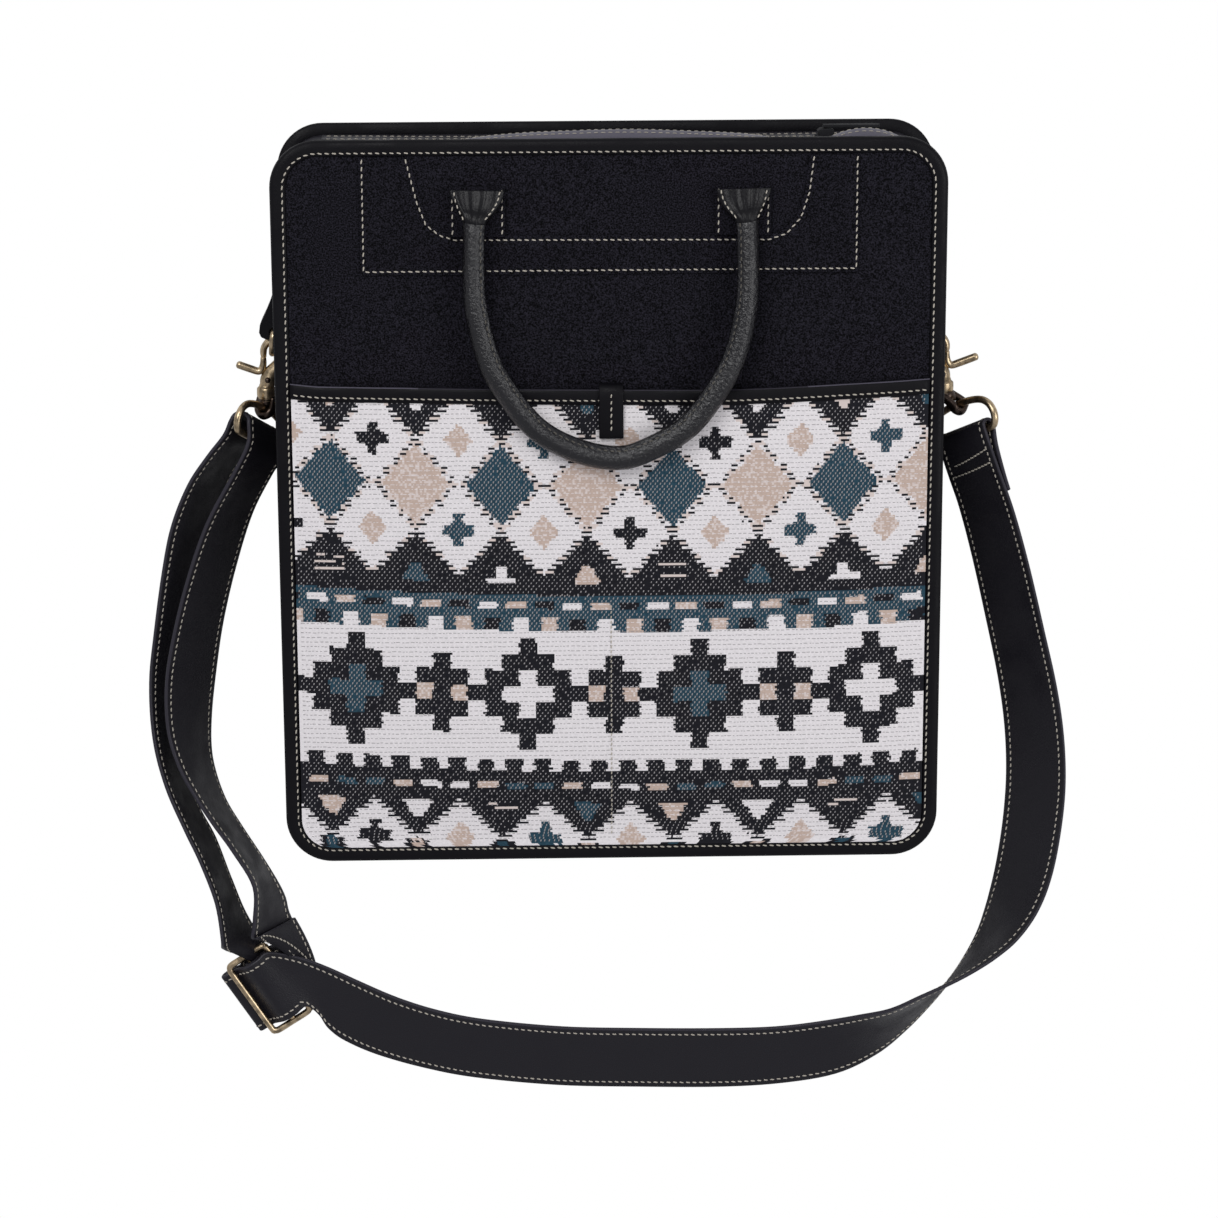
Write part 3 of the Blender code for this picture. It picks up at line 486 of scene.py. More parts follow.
class Thread:
    """Collects stitches that ride on one body."""

    def __init__(self, seed):
        self.verts = []
        self.faces = []
        self.rng = random.Random(seed)

    def stitch(self, p, t, n, length, width, height):
        """One slightly slanted stitch, rounded at its ends."""
        side = t.cross(n).normalized()
        t = (t + side * (0.16 + self.rng.uniform(-0.05, 0.05))).normalized()
        side = t.cross(n).normalized()
        base = len(self.verts)
        for along, w, h in ((-0.5, 0.4, 0.1), (-0.3, 1.0, 0.9), (0.3, 1.0, 0.9), (0.5, 0.4, 0.1)):
            c = p + t * (length * along)
            for a, b in ((-0.5, 0.0), (-0.3, 1.0), (0.3, 1.0), (0.5, 0.0)):
                q = c + side * (width * w * a) + n * (height * h * b - 0.08)
                self.verts.append(tuple(q))
        for i in range(3):
            a = base + i * 4
            for j in range(4):
                k = (j + 1) % 4
                self.faces.append((a + j, a + k, a + 4 + k, a + 4 + j))
        self.faces.append((base + 3, base + 2, base + 1, base))
        self.faces.append((base + 12, base + 13, base + 14, base + 15))

    def row(self, points, normals, pitch=None, length=2.4, width=0.8, height=0.40, closed=False):
        """Even stitches along a line of points."""
        pitch = pitch or settings().stitch_pitch / MM
        pts = [Vector(p) for p in points]
        nrm = [Vector(n).normalized() for n in normals]
        if closed:
            pts.append(pts[0])
            nrm.append(nrm[0])
        total = sum((b - a).length for a, b in zip(pts, pts[1:]))
        count = max(int(total / pitch), 1)
        step = total / count
        want = step / 2
        run = 0.0
        for a, b, na, nb in zip(pts, pts[1:], nrm, nrm[1:]):
            seg = (b - a).length
            while seg > 0 and want <= run + seg:
                f = (want - run) / seg
                n = na.lerp(nb, f).normalized()
                self.stitch(a.lerp(b, f), (b - a).normalized(), n, length, width, height)
                want += step
            run += seg

    def flat(self, points, normal=(0, 0, 1), **kw):
        """A row on a surface that faces one way."""
        self.row(points, [normal] * len(points), **kw)

    def finish(self, name, body="bag", key="thread"):
        """Make one piece of all stitches."""
        add_mesh(name, self.verts, self.faces, finishes(key), body=body, smooth=False)


# The woven pocket


def pocket_top(x, y):
    """Height of the pocket, which bulges and flattens towards its seams."""
    across = 1.0 - min(abs(x) / POCKET_HALF, 1.0) ** 4
    along = smoothstep((y - POCKET_LOW) / 55.0)
    return 72.5 + BULGE * across * along


def pocket_half(y):
    """Half width of the pocket, less at its round lower corners."""
    low = max(POCKET_CORNER_Y - y, 0.0)
    square = POCKET_CORNER_R * POCKET_CORNER_R
    return POCKET_HALF - (POCKET_CORNER_R - math.sqrt(max(square - low * low, 0.0)))


def pattern_place(x, y):
    """Place of a point of the pocket in the pattern's own units, whose bands bow up at both sides."""
    u = 611.2 + x * (1.948 + 0.00026 * y) - 0.0085 * y
    v = 510.5 - 0.019 * x - 1.903 * y - 0.00033 * y * y
    return u, v + 9.0 * ((u - 610.0) / 320.0) ** 2


CREAM, BLACK, TEAL, BEIGE, GRAIN = range(5)
NO_REACH = (9.0, 0.0)


def nearest(value, period, start):
    """Distance to the nearest repeat and that repeat's number."""
    k = round((value - start) / period)
    return value - (start + k * period), k


def cross_shape(a, b, kind):
    """Whether a place is in a small cross, or in a small diamond if it is beige."""
    a = abs(a)
    b = abs(b)
    if kind == BEIGE:
        return a / 14.5 + b / 17.5 <= 1.0
    return (a <= 4.6 and b <= 16.5) or (b <= 5.4 and a <= 16.0) or (a + b * 0.9 <= 12.5)


def lattice(u, v, reach):
    """The upper field: big diamonds with small crosses between, and dark points above and below."""
    du, k = nearest(u, DIAMOND_PITCH, DIAMOND_START)
    du = abs(du)
    big = du / 35.0 + abs(v - DIAMOND_ROW) / 40.5
    if big <= 1.0:
        return TEAL if k % 2 == 0 else BEIGE
    if reach[0] <= big - 1.0 <= reach[1]:
        return BLACK
    if big <= 1.22:
        return GRAIN if int(v / 7) % 2 else CREAM
    top = du / 36.5 + (v - TOP_POINT_ROW) / 43.0
    if top <= 1.0:
        if du < 9.5 - (v - 400.0) * 0.45 and v < 413 and k % 8 != 2:
            return (BEIGE, CREAM, BLACK, TEAL, CREAM, CREAM, GRAIN, TEAL)[k % 8]
        return BLACK
    if top <= 1.0 + reach[1] * 0.9:
        return BLACK
    if top <= 1.18:
        return GRAIN if int(v / 5) % 3 == 0 else CREAM
    low = du / 36.5 - (v - LOW_POINT_ROW) / 37.0
    if v > 577.0 or (low <= 0.0 and v > 530):
        return point_motif(du, v - SMALL_MOTIF_ROW, k % 8)
    if low <= reach[1] * 0.9 and v > 522:
        return BLACK
    if low <= 0.18 and v > 522:
        return GRAIN if int(v / 5) % 3 == 0 else CREAM
    da, ka = nearest(u, DIAMOND_PITCH, CROSS_START)
    upper = (BLACK, BEIGE, TEAL, BEIGE)[ka % 4]
    lower = (BEIGE, TEAL, BEIGE, BLACK)[ka % 4]
    if cross_shape(da, v - UPPER_CROSS_ROW, upper) and v < 480:
        return upper
    if cross_shape(da, v - LOWER_CROSS_ROW, lower) and v > 500:
        return lower
    return CREAM


def point_motif(du, dy, motif):
    """Bars, triangles and stepped forms inside the lower dark points."""
    if motif in (0, 4) and -17 < dy < 2 and du < 14 and (dy + 17) % 6.4 < 1.9:
        return GRAIN
    if motif in (1, 3, 5, 7) and -14 < dy < 5 and du < 4 + (dy + 14) * 0.55:
        return TEAL if motif in (1, 5) else BEIGE
    if motif in (2, 6) and ((-12 < dy < -1 and du < 5.5) or (-1 <= dy < 4.5 and du < 15)):
        return CREAM
    return BLACK


def teal_band(u, v):
    """The teal band with its dashes above and blocks below."""
    du, k = nearest(u, BLOCK_PITCH, DASH_START)
    if abs(v - DASH_ROW) <= 3.6 and abs(du) <= 10.0:
        return (CREAM, BEIGE, BLACK)[k % 3]
    du, k = nearest(u, BLOCK_PITCH, BLOCK_START)
    if abs(v - BLOCK_ROW) <= 6.5 and abs(du) <= 8.0:
        return (BLACK, CREAM, BEIGE)[k % 3]
    return TEAL


def medallions(u, v):
    """The pale field with its row of large and small stepped medallions."""
    row = math.floor((v - MEDALLION_ROW) / MEDALLION_CELL_H + 0.5)
    du, k = nearest(u, MEDALLION_PITCH, MEDALLION_START)
    col = abs(math.floor(du / MEDALLION_CELL_W + 0.5))
    far = abs(row)
    if k % 2 == 0:
        if far <= 3 and col <= (2, 2, 1, 0)[far]:
            if (far <= 1 and col == 0) or (row == 0 and col <= 1):
                return TEAL if k % 4 == 0 else CREAM
            return BLACK
    elif far <= 2 and col <= (1, 1, 0)[far]:
        if row == 0 and col == 1 and abs(abs(du) - MEDALLION_CELL_W) < 8:
            return BEIGE
        return BLACK
    return BLACK if row == 0 else CREAM


def lower_band(u, v, reach):
    """The toothed band, its dashes and the zigzag with crosses below."""
    if v < TEETH_END:
        du = nearest(u, TOOTH_PITCH, TOOTH_START)[0]
        return BLACK if v > TOOTH_ROW and abs(du) <= 8.2 else CREAM
    du, k = nearest(u, TOOTH_PITCH, LOW_DASH_START)
    if abs(v - LOW_DASH_ROW) <= 3.3 and abs(du) <= 9.5:
        return (BEIGE, TEAL, TEAL, BEIGE, CREAM, CREAM)[k % 6]
    if v < ZIGZAG_ROW:
        return BLACK
    du, k = nearest(u, ZIGZAG_PITCH, ZIGZAG_START)
    du = abs(du)
    deep = v - ZIGZAG_ROW
    kind = k % 4
    if kind in (0, 1, 3) and 2.0 < deep < 20.0 and du < 15.5 - (deep - 2.0) * 0.72:
        return (BEIGE, CREAM, BEIGE, TEAL)[kind]
    if kind == 2 and du < 15 and 4.0 < deep < 8.5:
        return GRAIN if v % 4 < 2 else BLACK
    if du / 41.0 + deep / 38.0 <= 1.0 + reach[1] * 0.8:
        return BLACK
    if v > 843.0 and du < 12:
        return (TEAL, BEIGE)[k % 2] if du < 5 else BLACK
    da, ka = nearest(u, ZIGZAG_PITCH, LOW_CROSS_START)
    kind = (BLACK, BEIGE, TEAL, BEIGE)[ka % 4]
    return kind if cross_shape(da, v - LOW_CROSS_ROW, kind) else CREAM


def yarn(u, v, reach):
    """Colour of the weave at a place of the pattern.

    reach says where a row's black dash starts and ends beside a shape, in shares of its size.
    """
    if v <= LATTICE_END:
        return lattice(u, v, reach)
    if v < TEAL_START:
        return BLACK
    if v < TEAL_END:
        return teal_band(u, v)
    if v < MEDALLIONS_END:
        return medallions(u, v)
    return lower_band(u, v, reach)


def weave_top(x, y):
    """Height of the cloth, slightly uneven."""
    return pocket_top(x, y) + 0.35 * wave(x, y, 38.0)


def build_pocket():
    """The woven cloth, coloured yarn crossing by yarn crossing."""
    s = settings()
    top = MOUTH_Y + 3.6
    nx = int(2 * POCKET_HALF * MM / s.cell_x)
    ny = int((top - CLOTH_LOW) * MM / s.cell_y)
    dx = 2 * POCKET_HALF / nx
    dy = (top - CLOTH_LOW) / ny
    rng = random.Random(s.seed)
    verts = []
    for j in range(ny + 1):
        y = top - dy * j
        half = pocket_half(max(y, CLOTH_LOW)) / POCKET_HALF
        for i in range(nx + 1):
            x = (dx * i - POCKET_HALF) * half
            rib = 0.16 * math.cos(math.pi * j) + 0.05 * rng.uniform(-1, 1)
            verts.append((x, y, weave_top(x, y) + rib))
    faces = []
    index = []
    for j in range(ny):
        y = top - dy * (j + 0.5)
        half = pocket_half(max(y, CLOTH_LOW)) / POCKET_HALF
        reach = NO_REACH
        nudge = 0.0
        for i in range(nx):
            if i % 5 == 0:
                if j % 2 == 0:
                    start = (0.0, 0.09)[j // 2 % 2] + rng.uniform(-0.02, 0.03)
                    reach = (start, start + rng.uniform(0.11, 0.19))
                nudge = rng.uniform(-1.5, 1.5)
            a = j * (nx + 1) + i
            faces.append((a, a + nx + 1, a + nx + 2, a + 1))
            u, v = pattern_place((dx * (i + 0.5) - POCKET_HALF) * half, y)
            kind = yarn(u + nudge, v, reach)
            if kind == BEIGE and rng.random() < 0.25:
                kind = GRAIN
            index.append(kind)
    mats = finishes("cream", "black", "teal", "beige", "grain")
    add_mesh("woven_pocket", verts, faces, mats, index, replaces=("pocket_fabric",))


class Flecks:
    """Collects short light floats that lie on the pocket."""

    def __init__(self):
        self.verts = []
        self.faces = []
        self.index = []

    def add(self, x, y, half, long, lean, rise, finish):
        """One float, narrower at its top."""
        base = len(self.verts)
        z = weave_top(x, y)
        for scale, h in ((1.0, 0.05), (0.7, rise)):
            for k, side in ((-0.5, 1), (-0.5, -1), (0.5, -1), (0.5, 1)):
                self.verts.append((x + side * half * scale + k * lean, y + k * long * scale, z + h))
        for a in range(4):
            b = (a + 1) % 4
            self.faces.append((base + b, base + a, base + 4 + a, base + 4 + b))
        self.faces.append((base + 7, base + 6, base + 5, base + 4))
        self.index.extend([finish] * 5)


def add_dark_flecks(flecks, rng, kind, pitch, gap):
    """Pale specks between the teal or the black yarns."""
    teal = kind == TEAL
    for j in range(int(240.0 / gap)):
        y = MOUTH_Y + 1.5 - j * gap
        half = pocket_half(y) - 1.6
        x = -half + (j % 2) * pitch / 2
        while x < half:
            u, v = pattern_place(x, y)
            if yarn(u, v, NO_REACH) == kind and rng.random() < (0.96 if teal else 0.86):
                width = 0.30 if teal else rng.uniform(0.20, 0.32)
                long = 1.15 if teal else rng.uniform(0.75, 1.0)
                flecks.add(x + rng.uniform(-0.25, 0.25), y, width, long, 0.25, 0.36, 0 if teal else 1)
            x += pitch


def add_pale_dashes(flecks, rng):
    """Thin dashes between the rows of the cream and beige yarns: painted shade of the grooves on the cream,
    cream dashes on the beige.
    """
    for j in range(int(240.0 / LINE_PITCH)):
        y = MOUTH_Y + 1.5 - j * LINE_PITCH
        half = pocket_half(y) - 2.0
        x = -half
        while x < half:
            long = rng.uniform(0.7, 2.2)
            middle = x + long / 2
            u, v = pattern_place(middle, y)
            kind = yarn(u, v, NO_REACH)
            if kind in (CREAM, BEIGE):
                place = y + rng.uniform(-0.12, 0.12)
                # Grey dashes of painted groove shade on the cream, cream-coloured ones on the beige
                flecks.add(middle, place, long / 2, 0.30, 0.0, 0.26, 2 if kind == CREAM else 3)
            x += long + rng.uniform(0.4, 1.2)


def build_flecks():
    """Short floats of the ground yarn and the stitched line that divides the pocket."""
    s = settings()
    rng = random.Random(s.seed + 5)
    step = s.fleck_pitch / MM
    flecks = Flecks()
    add_dark_flecks(flecks, rng, TEAL, step, 0.60 * step)
    add_dark_flecks(flecks, rng, BLACK, 1.12 * step, 0.66 * step)
    add_pale_dashes(flecks, rng)
    mats = finishes("speck", "speck_dim", "line", "cream")
    add_mesh("pocket_flecks", flecks.verts, flecks.faces, mats, flecks.index, smooth=False)
    seam = Thread(s.seed + 1)
    pts = [(-0.3, y, pocket_top(0, y) + 0.5) for y in range(-50, -178, -2)]
    seam.flat(pts, pitch=2.6, length=1.7, width=0.6, height=0.3)
    seam.finish("pocket_divider_stitches")


# The body


def lens_height(x):
    """How far the front strip bulges up beside the zip."""
    tall = math.sin(math.pi * min(max((x + 84.0) / 176.0, 0.0), 1.0)) ** 0.45
    return 8.2 * tall + 8.0 * math.sin(math.pi * min(max((x - 106.0) / 48.0, 0.0), 1.0)) ** 0.8


def strip_top(x, f, front):
    """Height of the soft strips beside the zip, which bulge up in two places of the front one."""
    bow = math.sin(math.pi * f) ** 0.8
    if not front:
        return STRIP_Y + bow * (0.7 + 1.2 * wave(x, 0.0, 24.0, 2.4))
    return STRIP_Y + bow * (lens_height(x) + 0.25 * wave(x, 0.0, 9.0)) - 1.2 * (1 - bow)


def build_binding(name, node, back):
    """Folded leather edge round the front or the back, slightly uneven."""
    outlines = [outline(inset) for inset, z in BINDING_SECTION]
    rings = []
    for j in range(len(outlines[0])):
        ring = []
        for points, (inset, z) in zip(outlines, BINDING_SECTION):
            x, y = points[j]
            z += 0.12 * wave(x, y, 9.0, 1.0 if back else 0.0)
            ring.append((x, y, max(BAG_D - z, 0.0) if back else z))
        rings.append(ring)
    verts, faces = skin(rings, closed=True)
    add_mesh(name, verts, faces, finishes("leather"), replaces=(node,))


def build_front_suede():
    """Napped front panel, slightly uneven inside its binding."""
    rings = []
    for inset in (7.7, 9, 12, 17, 24, 33, 45, 60, 78, 98, 120, 142, 160):
        calm = smoothstep((inset - 8) / 20)
        rings.append([(x, y, SUEDE_Z + 0.35 * wave(x, y, 26.0) * calm) for x, y in outline(inset)])
    n = len(rings[0])
    verts = [p for r in rings for p in r]
    faces = []
    for i in range(len(rings) - 1):
        for j in range(n):
            k = (j + 1) % n
            faces.append((i * n + j, i * n + k, (i + 1) * n + k, (i + 1) * n + j))
    faces.append(tuple(range((len(rings) - 1) * n, len(rings) * n)))
    add_mesh("front_suede", verts, faces, finishes("suede"), replaces=("front_panel",))


def build_top_strip(name, node, front):
    """Soft leather strip beside the zip; the front one has a painted sheen where it bulges."""
    z = STRIP_FRONT_Z if front else STRIP_BACK_Z
    steps = 160
    rings = []
    index = []
    for k in range(steps + 1):
        x = -STRIP_HALF + 2 * STRIP_HALF * k / steps
        ring = [(x, strip_top(x, g / 10, front), z + STRIP_W * g / 10) for g in range(11)]
        ring += [(x, 182.2, z + STRIP_W), (x, 182.2, z)]
        rings.append(ring)
        if k < steps:
            # The bulging faces of the front strip get the painted sheen
            index += [1 if front and lens_height(x) > 2.5 else 0] * len(ring)
    verts, faces = skin(rings)
    add_mesh(name, verts, faces, finishes("gusset", "strip"), index + [0, 0], replaces=(node,))


def side_values(side):
    """Name of a side, and how far inwards its clip's shown pieces stand beside the CAD ones."""
    return ("left", 0.0) if side < 0 else ("right", RIGHT_SHIFT)


def build_side_loop(side):
    """Leather loop that holds a D-ring on the side gusset."""
    tag, shift = side_values(side)
    outer = ((0, 179.8, 88), (30, 179.3, 92), (60, 176.6, 97.5), (80, 173.8, 104), (90, 171.5, 111),
             (100, 168.3, 111), (120, 168.2, 100), (150, 168.3, 92), (180, 168.6, 88), (210, 169.4, 85.4),
             (250, 172, 84.4), (300, 176.5, 84.4), (330, 178.9, 85.6))
    low, high = CLIP_Z - 10.0, CLIP_Z + 10.0
    rings = []
    for deg, x, y in outer:
        a = math.radians(deg)
        if side > 0:
            x = min(x, 175.3)
        near = (side * (DEE_X + 2.2 * math.cos(a) + shift), DEE_Y + 2.2 * math.sin(a))
        far = (side * (x + shift), y)
        rings.append([near + (low,), far + (low,), far + (high,), near + (high,)])
    verts, faces = skin(rings, closed=True)
    node = "side_chape_" + tag
    ob = add_mesh("side_loop_" + tag, verts, faces, finishes("leather"), smooth=False, replaces=(node,))
    mod = ob.modifiers.new("bevel", "BEVEL")
    mod.width = 0.5 * MM
    mod.segments = 2


def mouth_line(x):
    """Height of the stitched line along the pocket's mouth, which sags in the middle."""
    line = ((-164, 61.1), (-150, 59.8), (-108, 59.3), (-57, 58.3), (0, 57.5), (56, 56.9), (87, 57.7),
            (117, 59.0), (148, 60.1), (164, 60.9))
    for (xa, ya), (xb, yb) in zip(line, line[1:]):
        if x <= xb:
            return ya + (yb - ya) * (x - xa) / (xb - xa)
    return line[-1][1]


def build_pocket_mouth():
    """Leather along the pocket's mouth, with a painted highlight along its upper edge."""
    steps = 120
    rings = []
    index = []
    for k in range(steps + 1):
        x = -163.0 + 326.0 * k / steps
        y = mouth_line(x)
        rings.append([(x, y + a, pocket_top(x, min(y, MOUTH_Y)) + b) for a, b in MOUTH_SECTION])
        if k < steps:
            # Painted highlight on the upper edge row: the sheen finish at the sides, the dimmer edge finish
            # in the middle
            edge = 1 if abs(x) > 100 else 2
            index += [edge if j == 6 else 0 for j in range(len(MOUTH_SECTION))]
    verts, faces = skin(rings)
    mats = finishes("leather", "strip", "edge")
    add_mesh("pocket_mouth_leather", verts, faces, mats, index + [0, 0], replaces=("pocket_binding",))


def stitch_front(th):
    """Rows on the front: both bindings, the yoke patch, the handles' chapes and the pocket."""
    edge = outline(STITCH_IN)
    th.flat([(x, y, 71.9) for x, y in edge], closed=True)
    th.row([(x, y, 0.05) for x, y in edge], [(0, 0, -1)] * len(edge), closed=True, height=0.1)
    outer = [(-124.4, 181.0), (-124.4, 123.4), (124.8, 123.4), (124.8, 181.0)]
    inner = [(-102.6, 181.0), (-97.0, 158.3), (-92.6, 147.0), (-85.6, 141.6), (-78.0, 139.3), (80.4, 138.4)]
    inner += [(89.4, 141.4), (96.6, 149.6), (100.8, 162.6), (103.0, 181.0)]
    for patch in (outer, inner):
        th.flat([(x, y, SEAM_Z) for x, y in patch])
    for x0, x1 in ((-80.8, -52.6), (53.2, 81.4)):
        for x in (x0 + 1.6, x1 - 1.6):
            th.flat([(x, 165.5, 74.0), (x, 141.5, 74.0)])
    mouth = [-162.0 + 324.0 * k / 120 for k in range(121)]
    th.flat([(x, mouth_line(x), pocket_top(x, MOUTH_Y) + 1.4) for x in mouth])
    th.flat([(0.2, 62.0, 80.8), (0.2, 52.0, 80.6), (0.2, 41.5, 79.9)], pitch=3.0, length=2.2)


def build_body_stitches():
    """Rows of pale stitches on the body, and the duller ones beside the zip."""
    s = settings()
    th = Thread(s.seed + 2)
    stitch_front(th)
    for side in (-1, 1):
        for z in (28.0, 44.0):
            th.flat([(side * 169.8, 110, z), (side * 169.8, 97, z)], normal=(side, 0, 0))
    th.finish("body_stitches")
    dim = Thread(s.seed + 3)
    xs = [-145.0 + 290.0 * k / 120 for k in range(121)]
    for f, front in ((0.42, True), (0.66, True), (0.5, False), (0.84, False)):
        z = (STRIP_FRONT_Z if front else STRIP_BACK_Z) + STRIP_W * f
        row = [(x, strip_top(x, f, front), z) for x in xs]
        dim.flat(row, normal=(0, 1, 0), height=0.4, width=0.7)
    dim.finish("top_strip_stitches", key="thread_dim")


# Handles


def handle_path():
    """Centre line and half sizes of a rolled handle, from its left fold to its right one."""
    half = [
        (-66.7, 165.0, 0.4, 13.8, 1.7), (-66.8, 161.0, 0.9, 12.9, 2.5), (-67.1, 157.5, 1.5, 11.3, 3.2),
        (-67.5, 154.6, 2.2, 9.3, 4.0), (-67.9, 152.2, 3.0, 7.3, 4.9), (-68.2, 150.3, 3.3, 6.0, 5.0),
        (-68.4, 148.6, 3.2, 5.6, 4.6), (-68.7, 144.0, 3.8, 5.3, 5.0), (-68.8, 139.0, 4.2, 5.3, 5.3),
        (-69.0, 125.0, 5.8, 5.5, 5.5), (-68.3, 107.8, 7.8, 5.7, 5.7), (-63.6, 85.5, 9.4, 5.9, 5.9),
        (-56.5, 69.5, 10.3, 6.0, 6.0), (-39.5, 46.5, 10.4, 6.1, 6.1), (-19.0, 34.0, 10.2, 6.2, 6.2),
    ]
    mid = [(3.0, 29.4, 10.2, 6.2, 6.2)]
    other = [(-x + 0.6, y, z, a, b) for x, y, z, a, b in reversed(half)]
    return spline(half + mid + other, 8)


def handle_ring(i, station, side, top, up, phases):
    """One ring of a handle: gathered in pleats near its fold, with a ridge along the roll."""
    half_w, half_t = station[3:]
    c = Vector(station[:3])
    fan = smoothstep((station[1] - 147.0) / 8.0)
    ring = []
    for k in range(HANDLE_SIDES):
        ang = 2 * math.pi * k / HANDLE_SIDES
        across = math.cos(ang)
        r = 1.0
        if fan > 0:
            pleat = math.cos(across * 15 + phases[0]) * 0.5 + math.cos(across * 27 + phases[1]) * 0.5
            r += 0.22 * fan * pleat * (abs(math.sin(ang)) ** 0.5) * (2.6 / max(half_t, 1.5))
        off = math.atan2(math.sin(ang - RIDGE_AT), math.cos(ang - RIDGE_AT))
        lift = 0.75 * math.exp(-(abs(off) / 0.24) ** 2) * (1 - fan) if up > 0 else 0.0
        rough = 0.06 * wave(i * 3.0, k * 4.0, 9.0)
        p = c + side * (across * (half_w + rough)) + top * (math.sin(ang) * (half_t * r + rough))
        p += (side * across + top * math.sin(ang)) * lift
        if math.sin(ang) * up > 0:
            p -= top * (up * fan * 1.5 * (1 - across * across) ** 2)
        ring.append(tuple(p))
    return ring


def build_handle(name, node, path, up, seed):
    """Rolled handle with gathered ends, a seam along its inner side and stitched rims."""
    rng = random.Random(seed)
    phases = [rng.uniform(0, 6.28) for _ in range(2)]
    rings = []
    seam_pts = []
    seam_nrm = []
    for i, st in enumerate(path):
        side = heading(path, i).cross(Vector((0, 0, 1))).normalized()
        top = side.cross(heading(path, i)).normalized()
        rings.append(handle_ring(i, st, side, top, up, phases))
        if st[1] < 150:
            a, b = math.cos(SEAM_AT), math.sin(SEAM_AT)
            nrm = side * a + top * b
            seam_pts.append(Vector(st[:3]) + side * (a * st[3]) + top * (b * st[4]) + nrm * 0.1)
            seam_nrm.append(nrm)
    verts, faces = skin(rings)
    last = len(path) - 1
    index = [1 if path[min(i // HANDLE_SIDES, last)][1] > FOLD_Y else 0 for i in range(len(faces))]
    add_mesh(name, verts, faces, finishes("handle", "fan"), index, body=node, replaces=(node,))
    th = Thread(seed)
    th.row(seam_pts, seam_nrm, pitch=3.4, length=2.2, width=0.7, height=0.32)
    th.finish(name + "_seam", node, "thread_dark")
    rim = Thread(seed + 1)
    for end in (path[:56], path[-56:]):
        folded = [st for st in end if st[1] >= 150.5]
        for edge in (-0.84, 0.84):
            pts = [(x + edge * a, y, z + b * 0.56 * up) for x, y, z, a, b in folded]
            rim.row(pts, [(0, 0, up)] * len(pts), pitch=2.9, length=1.9, width=0.7, height=0.4)
    rim.finish(name + "_stitches", node)


def build_handles():
    """The front handle, and the rear one that lies flat under the back."""
    seed = settings().seed
    front = [(x, y, FRONT_HANDLE_Z + z, a, b) for x, y, z, a, b in handle_path()]
    build_handle("front_rolled_handle", "front_handle", front, 1, seed + 11)
    back = [(x, y, max(2.2, b + 0.35), a, b) for x, y, z, a, b in handle_path()]
    build_handle("back_rolled_handle", "back_handle", back, -1, seed + 12)


# The strap


def strap_ring(side):
    """Centre of the strap ring's bar, its directions along the bar and to the eye, and its normal."""
    place, along, reach = RING_LEFT if side < 0 else RING_RIGHT
    w = Vector(along).normalized()
    e = Vector(reach)
    e = (e - w * e.dot(w)).normalized()
    return Vector(place), w, e, w.cross(e)


def slider_point(u, v):
    """Place on the slider's frame, along its bars and across them."""
    return [SLIDER_C[k] + SLIDER_S[k] * v + SLIDER_U[k] * u for k in (0, 1)]


def at_slider(s, z):
    """Station of the strap across the slider; upper layers lie a little higher."""
    return (*slider_point(0, s), z + (LAYER_LIFT if z > 3.0 else 0.0), SLIDER_U[0], SLIDER_U[1], 0.0)


def fold(side, slide, rise, radius, shift):
    """Stations of the strap's turn round the bar of a ring, from its front to its back."""
    centre, w, e, n = strap_ring(side)
    centre = centre + w * slide + e * rise
    front = n if n.z > 0 else -n
    centre = centre + front * shift
    out = []
    for deg in (0, 45, 90, 135, 180):
        a = math.radians(deg)
        p = centre + front * (radius * math.cos(a)) + e * (radius * math.sin(a))
        out.append(tuple(p) + tuple(w))
    return out


